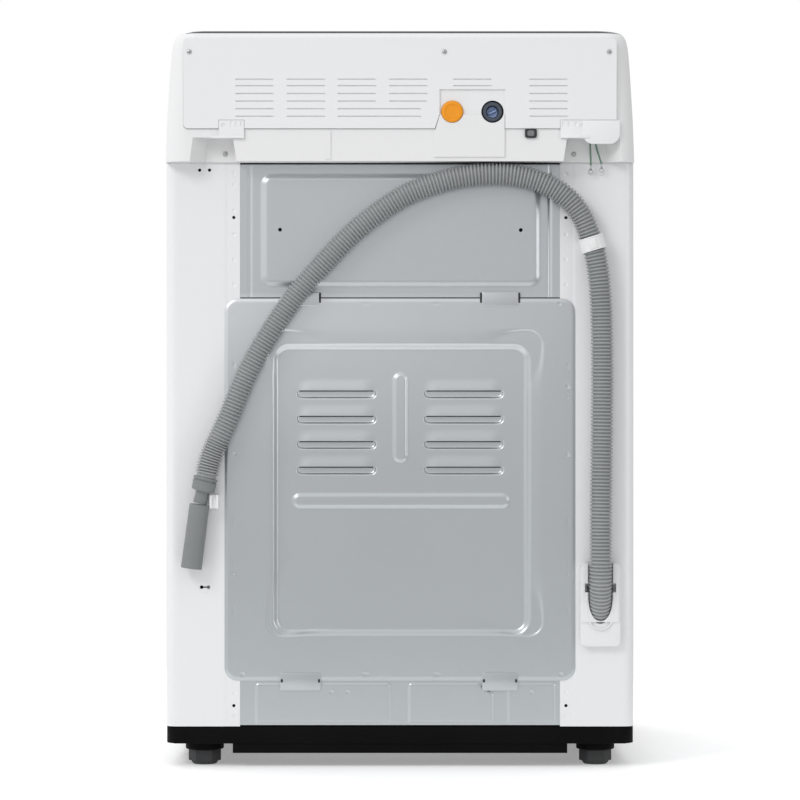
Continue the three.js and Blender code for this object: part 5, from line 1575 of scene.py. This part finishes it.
stator = merge("motor_stator_wound", *stator_parts, smooth=30)
belongs(stator, "tub", "stator_iron", "motor_stator")
rotor_profile = [(0, 150), (60, 150), (64, 151.4), (98, 151.4), (102, 150), (124, 150), (128, 151.6),
                 (130, 155), (130, 214.6), (129.4, 216), (126.6, 216), (126, 215), (126, 158), (122, 154),
                 (20, 154), (12, 156), (8, 162), (8, 274.6), (7, 275.7), (0, 275.7)]
rotor = turned("rotor", rotor_profile, zinc, 128, (0, TUB_Y, 0), smooth=30)
vents = []
for k in range(12):
    vent = along_x("vent", [(-5, 140), (5, 140), (7, 159), (-7, 159)], 68, 94)
    swing(vent, (0, TUB_Y, 0), math.radians(30 * k))
    vents.append(vent)
carve(rotor, *vents, smooth=30)
nut = turned("nut", [(0, 146), (11, 146), (12, 147), (12, 151), (0, 151)], steel, 6, (0, TUB_Y, 0))
rotor = merge("motor_rotor_cup", soften(rotor, 0.5, 2, 40), nut, smooth=30)
belongs(rotor, "pulsator", "zinc_steel", "motor_rotor")
PUMP_X, PUMP_Y = -180, TUB_Y + 90
pump_parts = [turned("pump_case",
                     [(0, 172), (30, 172), (33, 173), (34, 176), (34, 205), (31, 207), (31, 214), (34, 216),
                      (34, 235.7), (0, 235.7)],
                     valve_paint, 64, (PUMP_X, PUMP_Y, 0), smooth=30)]
spigot = turned("spigot", [(6, -60), (11, -60), (12, -59), (12, -56), (10.6, -54), (10.6, -20), (6, -20)],
                valve_paint, 40, (PUMP_X, PUMP_Y, 202), "X", whole=True)
pump_parts.append(spigot)
for k in range(12):
    fin = soften(along_x("fin", [(-1, 176), (1, 176), (1, 203), (-1, 203)], 32, 36.5, valve_paint), 0.3, 1)
    swing(fin, (PUMP_X, PUMP_Y, 0), math.radians(30 * k + 15))
    pump_parts.append(fin)
pump = merge("drain_pump_assembly", *pump_parts, smooth=30)
belongs(pump, "tub", "valve_plastic", "drain_pump")

# ---------- floor ----------
# A plain pale studio floor that fades out to white away from the machine.
floor_mesh = bpy.data.meshes.new("floor")
floor_r = 2.4
floor_points = [(floor_r * math.cos(t), floor_r * math.sin(t), -0.0004)
                for t in np.linspace(0, 2 * math.pi, 97)[:-1]]
floor_mesh.from_pydata(floor_points, [], [tuple(range(96))])
floor = bpy.data.objects.new("floor", floor_mesh)
scene.collection.objects.link(floor)
floor_paint = Paint("studio floor", (0.86, 0.86, 0.86), 0.6)
floor_paint.patches((0.82, 0.82, 0.82), 1.5, 3, 0.3, 0.3, 0.7)
floor_paint.set("Emission Color", (1, 1, 1, 1))
floor_paint.set("Emission Strength", 0.3)
reach = floor_paint.add("ShaderNodeVectorMath", {"operation": "LENGTH"}, {0: floor_paint.place()}, 1)
floor_paint.set("Alpha", floor_paint.ramp(reach, 0.75, 1.6, 1.0, 0.0))
floor_mesh.materials.append(floor_paint.material)
